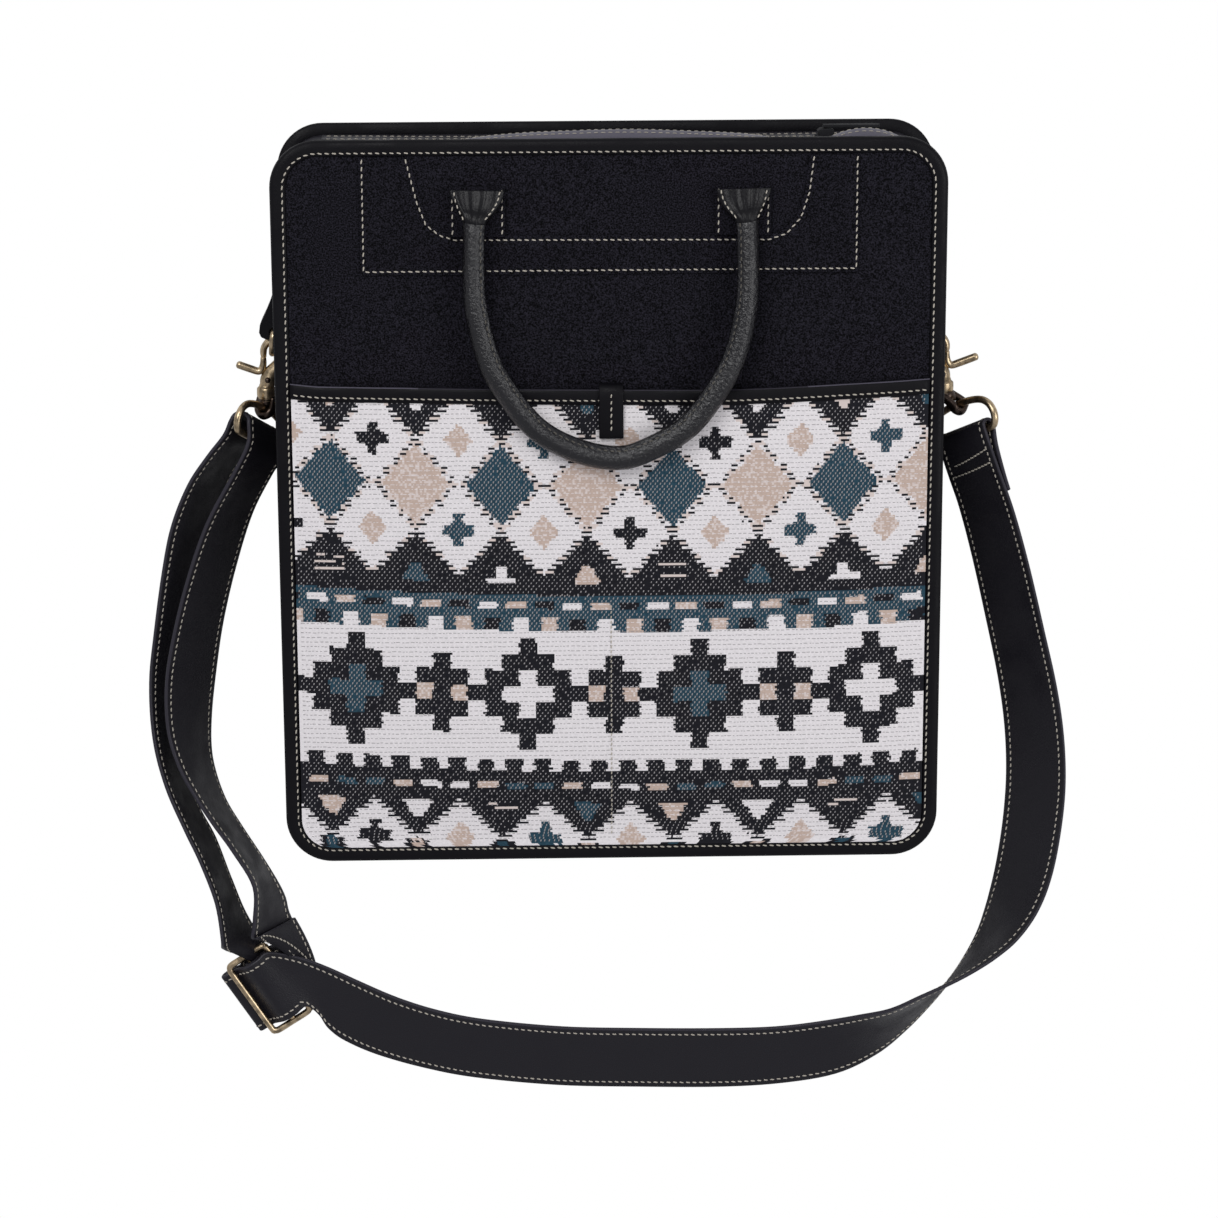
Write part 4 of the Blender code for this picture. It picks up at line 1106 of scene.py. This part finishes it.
def strap_stations():
    """The strap's centre line and width direction, from its sewn end to the right clip."""
    sewn_end = [
        (-182.0, -244.6, 20.0, 0.50, 0.0, -0.87), (-175.4, -259.2, 13.8, 0.68, -0.46, -0.56),
        at_slider(19, 6.4), at_slider(11, 5.7), at_slider(7.4, 6.3), at_slider(4.7, 8.4),
        at_slider(2.4, 11.0),
    ]
    round_bar = []
    for deg in (90, 135, 180, 225, 270):
        a = math.radians(deg)
        round_bar.append(at_slider(3.2 * math.cos(a), BAR_Z - LAYER_LIFT + 3.2 * math.sin(a)))
    inner_layer = [
        at_slider(5, 4.4), at_slider(11, 3.4), at_slider(20, 3.8),
        (-177.0, -258.8, 11.8, 0.68, -0.46, -0.56),
    ]
    front_strand = [
        (-184.1, -244.6, 18.8, 0.50, 0.0, -0.87), (-185.3, -232.8, 19.6, 0.36, 0.10, -0.92),
        (-190.0, -213.4, 20.0, 0.08, 0.06, -0.99), (-200.9, -193.7, 20.5, 0.06, 0.03, -1.0),
        (-210.2, -177.9, 21.0, 0.10, 0.04, -0.99), (-217.6, -161.5, 21.0, 0.22, 0.05, -0.97),
        (-222.4, -146.0, 21.4, 0.38, 0.02, -0.92), (-224.4, -126.0, 22.4, 0.55, 0, -0.84),
        (-222.5, -100.0, 24.0, 0.64, 0, -0.77), (-217.5, -73.0, 26.5, 0.63, 0, -0.78),
        (-209.5, -43.0, 29.0, 0.61, 0, -0.79), (-199.0, -13.0, 31.8, 0.58, 0, -0.81),
        (-185.8, 12.0, 37.4, 0.46, -0.2, -0.86), (-179.2, 24.4, 40.7, 0.40, -0.39, -0.83),
    ]
    back_strand = [
        (-191.4, 28.8, 33.6, 0.42, -0.32, -0.84), (-199.0, 20.5, 30.6, 0.48, -0.16, -0.86),
        (-208.5, 7.0, 27.4, 0.56, 0, -0.83), (-217.0, -15.0, 25.6, 0.6, 0, -0.8),
        (-222.5, -40.0, 23.6, 0.62, 0, -0.79), (-228.0, -75.0, 20.6, 0.64, 0, -0.77),
        (-232.2, -102.0, 18.0, 0.60, 0, -0.80), (-235.0, -132.0, 17.4, 0.40, 0.02, -0.92),
        (-233.6, -158.0, 17.6, 0.16, 0.05, -0.99), (-225.4, -181.5, 19.0, 0.10, 0.05, -0.99),
        (-217.0, -200.0, 20.0, 0.12, 0.06, -0.99), (-209.4, -223.0, 20.0, 0.13, 0.05, -0.99),
        (-203.8, -245.0, 19.6, 0.30, 0.0, -0.95), (-197.2, -262.0, 13.4, 0.66, -0.38, -0.64),
    ]
    through_slider = [
        (-191.6, -273.6, 4.0, 0.72, -0.68, -0.12), at_slider(-7.5, 1.1), at_slider(-13, 1.1),
        at_slider(-17.0, 1.1), at_slider(-18.9, 1.9), at_slider(-19.6, 3.5), at_slider(-18.9, 5.1),
        at_slider(-17.0, 5.6), at_slider(-13.0, 5.6), at_slider(-10.4, 6.3), at_slider(-7.7, 8.9),
        at_slider(-5.2, 11.6), at_slider(-2.6, 13.7), at_slider(0, 14.5), at_slider(4.5, 13.9),
        at_slider(11, 12.2),
    ]
    bottom_run = [
        (-166.5, -281.0, 11.6, 0.34, -0.93, -0.06), (-155.5, -288.5, 10.6, 0.02, -0.99, -0.1),
        (-142.0, -297.0, 9.6, -0.22, -0.96, -0.14), (-122.7, -306.5, 8.8, -0.33, -0.92, -0.17),
        (-99.0, -314.7, 8.0, -0.26, -0.95, -0.2), (-72.0, -321.0, 7.0, -0.16, -0.97, -0.2),
        (-28.0, -326.2, 6.4, -0.06, -0.98, -0.2), (16.0, -327.8, 6.4, -0.0, -0.98, -0.2),
        (60.0, -328.4, 6.6, 0.0, -0.98, -0.2), (92.8, -327.0, 7.2, 0.10, -0.97, -0.24),
        (120.4, -322.5, 8.6, 0.24, -0.93, -0.3), (141.8, -314.0, 12.0, 0.30, -0.80, -0.52),
    ]
    right_strand = [
        (158.0, -304.0, 15.6, 0.30, -0.60, -0.74), (173.0, -291.5, 18.0, 0.26, -0.42, -0.87),
        (186.0, -280.0, 19.6, 0.16, -0.24, -0.96), (196.0, -270.0, 20.0, 0.04, -0.08, -1.0),
        (205.5, -259.0, 20.2, -0.14, 0.05, -0.99), (213.5, -247.0, 20.0, -0.36, 0.14, -0.92),
        (220.5, -232.0, 19.0, -0.56, 0.15, -0.81), (225.5, -214.0, 18.0, -0.68, 0.1, -0.73),
        (229.0, -190.0, 17.4, -0.73, 0, -0.68), (230.3, -165.0, 17.4, -0.75, 0, -0.66),
        (228.6, -138.0, 18.2, -0.75, 0, -0.66), (224.0, -110.0, 19.8, -0.74, 0, -0.67),
        (216.5, -78.0, 22.0, -0.72, 0, -0.69), (207.5, -42.0, 25.6, -0.7, 0.0, -0.70),
        (199.0, -13.0, 30.6, -0.66, -0.08, -0.73), (191.6, 7.0, 36.6, -0.60, -0.22, -0.75),
        (186.6, 20.5, 42.0, -0.55, -0.36, -0.745),
    ]
    right_end = [
        (190.2, 20.8, 39.8, -0.55, -0.36, -0.745), (193.9, 7.4, 34.9, -0.60, -0.22, -0.75),
        (196.6, -1.0, 32.4, -0.63, -0.14, -0.74),
    ]
    left = sewn_end + round_bar + inner_layer + front_strand + fold(-1, 1.0, 4.6, 5.4, -2.2) + back_strand
    right = right_strand + fold(1, 1.2, 1.05, 3.35, 0.0) + right_end
    return left + through_slider + bottom_run + right


def strap_frames():
    """Centre, direction, width direction and normal all along the strap."""
    pts = spline(strap_stations(), 6)
    out = []
    for i, st in enumerate(pts):
        t = heading(pts, i)
        w = Vector(st[3:]).normalized()
        out.append((Vector(st[:3]), t, w, t.cross(w).normalized()))
    return out


def build_strap():
    """The strap with its painted edges and a stitch row along each edge of both faces."""
    s = settings()
    half = s.strap_width / MM / 2
    frames = strap_frames()
    rings = []
    for c, t, w, n in frames:
        rings.append([tuple(c + w * (half * a) + n * (STRAP_HALF_T * b)) for a, b in STRAP_SECTION])
    verts, faces = skin(rings)
    index = [1 if j in STRAP_EDGES else 0 for j in range(len(STRAP_SECTION))] * (len(rings) - 1)
    mats = finishes("strap", "edge")
    add_mesh("strap_leather", verts, faces, mats, index + [1, 1], replaces=("shoulder_strap",))
    th = Thread(s.seed + 21)
    for face in (-1, 1):
        for edge in (-1, 1):
            inset = edge * (half - 3.4)
            pts = [c + w * inset + n * (face * STRAP_HALF_T * 0.97) for c, t, w, n in frames]
            th.row(pts, [n * face for c, t, w, n in frames], height=0.3, width=0.85)
    th.finish("strap_stitches")


def on_strap(frames, y, a):
    """Point on the front of the strap where it first reaches a height, off its centre line by a."""
    for f, g in zip(frames, frames[1:]):
        lo, hi = sorted((f[0].y, g[0].y))
        if lo <= y <= hi and hi > lo:
            t = (y - f[0].y) / (g[0].y - f[0].y)
            up = f[3] if f[3].z > 0 else -f[3]
            return f[0].lerp(g[0], t) + f[2].lerp(g[2], t) * a + up * 1.05, up
    raise ValueError("the strap does not reach this height")


def build_strap_ends():
    """Stitching that closes the sewn ends of the strap."""
    th = Thread(settings().seed + 22)
    frames = strap_frames()
    left = frames[:40]
    right = [f for f in frames[len(frames) // 2:] if f[0].x > 150 and f[0].y > -20]
    rows = ((left, (-14.0, -245.0), (14.0, -262.0)), (left, (-2.0, -260.0), (14.0, -269.0)))
    rows += ((right, (-15.5, 20.0), (12.0, 14.8)), (right, (-15.5, 13.6), (15.0, 7.4)))
    for part, (a0, y0), (a1, y1) in rows:
        marks = [on_strap(part, y0 + (y1 - y0) * k / 8, a0 + (a1 - a0) * k / 8) for k in range(9)]
        th.row([p for p, up in marks], [up for p, up in marks], pitch=3.0, height=0.4)
    th.finish("strap_end_stitches")


# Hardware


def wire(name, path, key, body="bag", node=None, closed=False, up=(0, 0, 1), steps=6, sides=24):
    """Smooth round bar along points that carry their own half sizes."""
    pts = spline(path + path[:1], steps)[:-1] if closed else spline(path, steps)
    last = len(pts) - 1
    rings = []
    for i, st in enumerate(pts):
        t = heading(pts, i, closed)
        side = t.cross(Vector(up)).normalized()
        top = side.cross(t).normalized()
        scales = (1.0,)
        if not closed and i in (0, last):
            scales = (0.35, 0.75, 0.94, 1.0) if i == 0 else (1.0, 0.94, 0.75, 0.35)
        for k in scales:
            c = Vector(st[:3]) + t * (math.sqrt(1 - k * k) * st[3] * (0.8 if i else -0.8))
            ring = []
            for j in range(sides):
                ang = 2 * math.pi * j / sides
                ring.append(tuple(c + side * (st[3] * k * math.cos(ang)) + top * (st[4] * k * math.sin(ang))))
            rings.append(ring)
    verts, faces = skin(rings, closed=closed)
    add_mesh(name, verts, faces, finishes(key), body=body, replaces=(node,) if node else ())


def build_dee(side):
    """D-ring with its straight bar in the leather loop."""
    tag, shift = side_values(side)
    bar = Vector((side * (DEE_X + shift), DEE_Y, CLIP_Z))
    out = Vector((side * 0.12, -0.99, 0)).normalized()
    pts = [bar + Vector((0, 0, z)) for z in (-12.6, -4, 4, 12.6)]
    for k in range(1, 12):
        a = math.pi * k / 12
        pts.append(bar + Vector((0, 0, 14.0 * math.cos(a))) + out * (12.5 * math.sin(a) ** 0.8))
    path = [tuple(p) + (1.6, 1.6) for p in pts]
    node = "d_ring_" + tag
    wire("dee_" + tag, path, "brass", node, node, True, Vector((0, 0, 1)).cross(out), 4)


def build_hook(side):
    """Snap hook with its collar, gate lever and pin."""
    tag, shift = side_values(side)
    cx = HOOK_X + shift
    ex = cx - 3.8
    hook = []
    bend = ((196, 1.4), (182, 1.7), (155, 1.8), (120, 1.9), (90, 2.1), (60, 2.2), (30, 2.3), (0, 2.4))
    for deg, r in bend:
        a = math.radians(180 - deg)
        hook.append((side * (ex + 4.7 * math.cos(a)), HOOK_Y + 6.3 * math.sin(a), CLIP_Z, r, r * 1.6))
    neck = [(-8.2, -3.4, 2.5, 3.4), (-5.8, -7.0, 3.3, 3.6), (-3.2, -10.6, 4.2, 3.8), (-1.4, -14.2, 4.4, 4.1)]
    neck += [(-0.2, -17.6, 3.5, 3.5)]
    hook += [(side * (cx + x), HOOK_Y + y, CLIP_Z, a, b) for x, y, a, b in neck]
    wire("hook_" + tag, hook, "brass", "hook_" + tag, "hook_body_" + tag)
    turns = ((-17.4, 3.6), (-18.2, 4.5), (-19.0, 4.8), (-22.4, 4.8), (-23.2, 4.4))
    collar = [(side * cx, HOOK_Y + y, CLIP_Z, r, r) for y, r in turns]
    wire("collar_" + tag, collar, "brass", "hook_" + tag, steps=2)
    gate = [(4.8, -2.6, 1.5), (4.9, -5.6, 1.7), (5.6, -8.2, 1.9), (7.4, -9.6, 1.9), (11.4, -8.4, 2.0)]
    gate += [(17.4 - 0.8 * shift, -6.2 - 0.3 * shift, 2.0)]
    lever = [(side * (ex + x), HOOK_Y + y, CLIP_Z, r, 1.9) for x, y, r in gate]
    wire("gate_" + tag, lever, "brass", "gate_" + tag, "hook_gate_" + tag)
    pin = [(side * (cx - 1.2), HOOK_Y - 13.6, z, 1.5, 1.5) for z in (32.2, 40.6)]
    wire("hook_pin_" + tag, pin, "stud", "hook_" + tag, up=(0, 1, 0), steps=1)


def build_swivel(side):
    """Ring of the strap and the shackle that joins it to the hook's collar."""
    tag, shift = side_values(side)
    centre, w, e, n = strap_ring(side)
    path = [tuple(centre + w * x + e * y) + (1.9, 1.9) for x, y in RING_PROFILE]
    wire("strap_ring_" + tag, path, "brass", "bag", "swivel_loop_" + tag, True, n, 4)
    hold = centre + e * RING_TOP[1]
    top = Vector((side * (HOOK_X + shift), HOOK_Y - 24.1, CLIP_Z))
    level = Vector((n.x, 0, n.z)).normalized()
    eye = [tuple(top + level * EYE_HALF) + (1.7, 1.8)]
    for f, h in ((1.0, 0.1), (0.75, -0.55), (0.0, -1.0), (-0.75, -0.55), (-1.0, 0.1)):
        eye.append(tuple(hold + n * (EYE_HALF * f) + e * (4.1 * h)) + (2.0, 2.8))
    eye.append(tuple(top - level * EYE_HALF) + (1.7, 1.8))
    wire("eye_" + tag, eye, "stud", "bag", "swivel_stud_" + tag, up=w)
    barrel = [tuple(top.lerp(hold, f)) + (r, r) for f, r in ((0.0, 3.6), (0.2, 4.0), (0.4, 3.8), (0.52, 3.0))]
    wire("eye_barrel_" + tag, barrel, "stud", up=w, steps=2)
    cap = [tuple(top + Vector((0, dy, 0))) + (r, r) for dy, r in ((0.9, 3.4), (0.0, 4.4), (-0.8, 3.6))]
    wire("eye_cap_" + tag, cap, "stud", steps=2)


def build_slider():
    """Frame and centre bar of the strap's slider."""
    half = 22.6
    right = [(0, -13.0), (19.6, -13.0), (half - 0.8, -12.1), (half, -9.8), (half, -1.0), (half, 7.8)]
    right += [(half - 0.8, 10.1), (19.6, 11.0)]
    left = [(-u, v) for u, v in reversed(right[1:])]
    outline_pts = left[-1:] + right + [(0, 11.0)] + left[:-1]
    loop = [(*slider_point(u, v), BAR_Z, BAR_R, BAR_R) for u, v in outline_pts]
    wire("slider_frame", loop, "brass", node="strap_slider", closed=True)
    ends = [(*slider_point(u, 0), BAR_Z, BAR_R, BAR_R) for u in (-20.5, 20.5)]
    wire("slider_bar", ends, "brass", node="strap_slider_bar", steps=2)


def build_clips():
    """D-rings, hooks and swivels of both sides."""
    for side in (-1, 1):
        build_dee(side)
        build_hook(side)
        build_swivel(side)


# The stage


def white_floor():
    """White ground for the camera that still lights the bag as a pale one."""
    mat = bpy.data.materials.new("backdrop_white")
    mat.use_nodes = True
    tree = mat.node_tree
    tree.nodes.clear()
    out = tree.nodes.new("ShaderNodeOutputMaterial")
    mix = tree.nodes.new("ShaderNodeMixShader")
    path = tree.nodes.new("ShaderNodeLightPath")
    glow = tree.nodes.new("ShaderNodeEmission")
    plain = tree.nodes.new("ShaderNodeBsdfDiffuse")
    glow.inputs["Color"].default_value = (1, 1, 1, 1)
    plain.inputs["Color"].default_value = (0.8, 0.8, 0.8, 1)
    tree.links.new(path.outputs["Is Camera Ray"], mix.inputs["Fac"])
    tree.links.new(plain.outputs["BSDF"], mix.inputs[1])
    tree.links.new(glow.outputs["Emission"], mix.inputs[2])
    tree.links.new(mix.outputs["Shader"], out.inputs["Surface"])
    return mat


def add_light(name, place, target, size, power):
    """Square soft light that faces a point."""
    data = bpy.data.lights.new(name, "AREA")
    data.size = size
    data.energy = power
    ob = bpy.data.objects.new(name, data)
    ob.location = place
    ob.rotation_mode = "QUATERNION"
    ob.rotation_quaternion = (Vector(target) - Vector(place)).to_track_quat("-Z", "Y")
    bpy.context.scene.collection.objects.link(ob)


def build_floor():
    """The white ground under the bag."""
    mesh = bpy.data.meshes.new("floor")
    corners = [(-4, -4), (4, -4), (4, 4), (-4, 4)]
    mesh.from_pydata([(x, y, -0.0004) for x, y in corners], [], [(0, 1, 2, 3)])
    mesh.materials.append(white_floor())
    floor = bpy.data.objects.new("floor", mesh)
    bpy.context.scene.collection.objects.link(floor)


def build_camera(lens):
    """The camera that looks down on the bag as in the picture."""
    data = bpy.data.cameras.new("camera")
    data.lens = lens
    data.sensor_width = 36.0
    cam = bpy.data.objects.new("camera", data)
    cam.matrix_world = Matrix.Translation(Vector(CAMERA_PLACE)) @ Matrix(CAMERA_TURN).to_4x4()
    bpy.context.scene.collection.objects.link(cam)
    bpy.context.scene.camera = cam


def build_stage():
    """Ground, surrounding light, two lamps and the camera."""
    scene = bpy.context.scene
    st = scene.stage_settings
    scene.view_settings.view_transform = "Standard"
    build_floor()
    world = bpy.data.worlds.new("studio")
    scene.world = world
    world.use_nodes = True
    back = world.node_tree.nodes["Background"]
    back.inputs["Color"].default_value = (0.93, 0.94, 1.0, 1)
    back.inputs["Strength"].default_value = st.world
    add_light("key", (-0.7, 1.5, 1.9), (0, 0.15, 0), 1.2, st.key)
    add_light("fill", (1.3, 0.3, 1.5), (0, 0.1, 0), 1.0, st.key * 0.45)
    build_camera(st.lens)


# Operators


class BAG_OT_materials(bpy.types.Operator):
    """Make the finishes"""

    bl_idname = "bag.materials"
    bl_label = "Materials"

    def execute(self, context):
        MATS.update(make_materials())
        return {"FINISHED"}


class BAG_OT_bindings(bpy.types.Operator):
    """Make the folded leather edges of the front and the back"""

    bl_idname = "bag.bindings"
    bl_label = "Bindings"

    def execute(self, context):
        build_binding("binding_front_leather", "front_binding", False)
        build_binding("binding_back_leather", "back_binding", True)
        return {"FINISHED"}


class BAG_OT_front_suede(bpy.types.Operator):
    """Make the napped front panel"""

    bl_idname = "bag.front_suede"
    bl_label = "Front suede"

    def execute(self, context):
        build_front_suede()
        return {"FINISHED"}


class BAG_OT_cad_pieces(bpy.types.Operator):
    """Finish the back, gusset, yoke, chapes, zip and inside as the frame has them"""

    bl_idname = "bag.cad_pieces"
    bl_label = "Plain pieces"

    def execute(self, context):
        for key, bevel, nodes in CAD_FINISHES:
            for node in nodes:
                dress(node, key, bevel)
        return {"FINISHED"}


class BAG_OT_top_strips(bpy.types.Operator):
    """Make the soft strips on both sides of the zip"""

    bl_idname = "bag.top_strips"
    bl_label = "Top strips"

    def execute(self, context):
        build_top_strip("top_strip_front", "top_gusset_front", True)
        build_top_strip("top_strip_back", "top_gusset_back", False)
        return {"FINISHED"}


class BAG_OT_pocket(bpy.types.Operator):
    """Make the woven front pocket with its pattern"""

    bl_idname = "bag.pocket"
    bl_label = "Woven pocket"

    def execute(self, context):
        build_pocket()
        return {"FINISHED"}


class BAG_OT_flecks(bpy.types.Operator):
    """Make the light floats of the weave and the pocket's dividing seam"""

    bl_idname = "bag.flecks"
    bl_label = "Pocket flecks"

    def execute(self, context):
        build_flecks()
        return {"FINISHED"}


class BAG_OT_pocket_mouth(bpy.types.Operator):
    """Make the leather along the pocket's mouth"""

    bl_idname = "bag.pocket_mouth"
    bl_label = "Pocket mouth"

    def execute(self, context):
        build_pocket_mouth()
        return {"FINISHED"}


class BAG_OT_side_loops(bpy.types.Operator):
    """Make the leather loops that hold the D-rings"""

    bl_idname = "bag.side_loops"
    bl_label = "Side loops"

    def execute(self, context):
        for side in (-1, 1):
            build_side_loop(side)
        return {"FINISHED"}


class BAG_OT_body_stitches(bpy.types.Operator):
    """Make the rows of stitches on the body"""

    bl_idname = "bag.body_stitches"
    bl_label = "Body stitches"

    def execute(self, context):
        build_body_stitches()
        return {"FINISHED"}


class BAG_OT_handles(bpy.types.Operator):
    """Make the rolled handles with their gathered ends"""

    bl_idname = "bag.handles"
    bl_label = "Handles"

    def execute(self, context):
        build_handles()
        return {"FINISHED"}


class BAG_OT_strap(bpy.types.Operator):
    """Make the strap with its edges and stitch rows"""

    bl_idname = "bag.strap"
    bl_label = "Shoulder strap"

    def execute(self, context):
        build_strap()
        return {"FINISHED"}


class BAG_OT_strap_ends(bpy.types.Operator):
    """Make the stitching of the strap's sewn ends"""

    bl_idname = "bag.strap_ends"
    bl_label = "Strap ends"

    def execute(self, context):
        build_strap_ends()
        return {"FINISHED"}


class BAG_OT_clips(bpy.types.Operator):
    """Make the rings, hooks, gates and swivels"""

    bl_idname = "bag.clips"
    bl_label = "Clips"

    def execute(self, context):
        build_clips()
        return {"FINISHED"}


class BAG_OT_slider(bpy.types.Operator):
    """Make the slider of the strap"""

    bl_idname = "bag.slider"
    bl_label = "Slider"

    def execute(self, context):
        build_slider()
        return {"FINISHED"}


class BAG_OT_stage(bpy.types.Operator):
    """Make the floor, lights and camera"""

    bl_idname = "bag.stage"
    bl_label = "Stage"

    def execute(self, context):
        build_stage()
        return {"FINISHED"}


STEPS = (
    BAG_OT_materials, BAG_OT_bindings, BAG_OT_front_suede, BAG_OT_cad_pieces, BAG_OT_top_strips,
    BAG_OT_pocket, BAG_OT_flecks, BAG_OT_pocket_mouth, BAG_OT_side_loops, BAG_OT_body_stitches,
    BAG_OT_handles, BAG_OT_strap, BAG_OT_strap_ends, BAG_OT_clips, BAG_OT_slider, BAG_OT_stage,
)


class BAG_PT_panel(bpy.types.Panel):
    """Lists the pieces of the bag"""

    bl_idname = "BAG_PT_panel"
    bl_label = "Laptop Bag"
    bl_space_type = "VIEW_3D"
    bl_region_type = "UI"
    bl_category = "Laptop Bag"

    def draw(self, context):
        for group in (context.scene.bag_settings, context.scene.stage_settings):
            for key in group.__annotations__:
                self.layout.prop(group, key)
        for step in STEPS:
            self.layout.operator(step.bl_idname)


CLASSES = (BagSettings, StageSettings, *STEPS, BAG_PT_panel)


def register():
    """Make the settings, operators and panel known."""
    for c in CLASSES:
        bpy.utils.register_class(c)
    bpy.types.Scene.bag_settings = bpy.props.PointerProperty(type=BagSettings)
    bpy.types.Scene.stage_settings = bpy.props.PointerProperty(type=StageSettings)


def unregister():
    """Take them away again."""
    del bpy.types.Scene.stage_settings
    del bpy.types.Scene.bag_settings
    for c in reversed(CLASSES):
        bpy.utils.unregister_class(c)


def main():
    """Build the bag and its stage."""
    register()
    bpy.ops.bag.materials()
    bpy.ops.bag.bindings()
    bpy.ops.bag.front_suede()
    bpy.ops.bag.cad_pieces()
    bpy.ops.bag.top_strips()
    bpy.ops.bag.pocket()
    bpy.ops.bag.flecks()
    bpy.ops.bag.pocket_mouth()
    bpy.ops.bag.side_loops()
    bpy.ops.bag.body_stitches()
    bpy.ops.bag.handles()
    bpy.ops.bag.strap()
    bpy.ops.bag.strap_ends()
    bpy.ops.bag.clips()
    bpy.ops.bag.slider()
    bpy.ops.bag.stage()


if __name__ == "__main__":
    main()
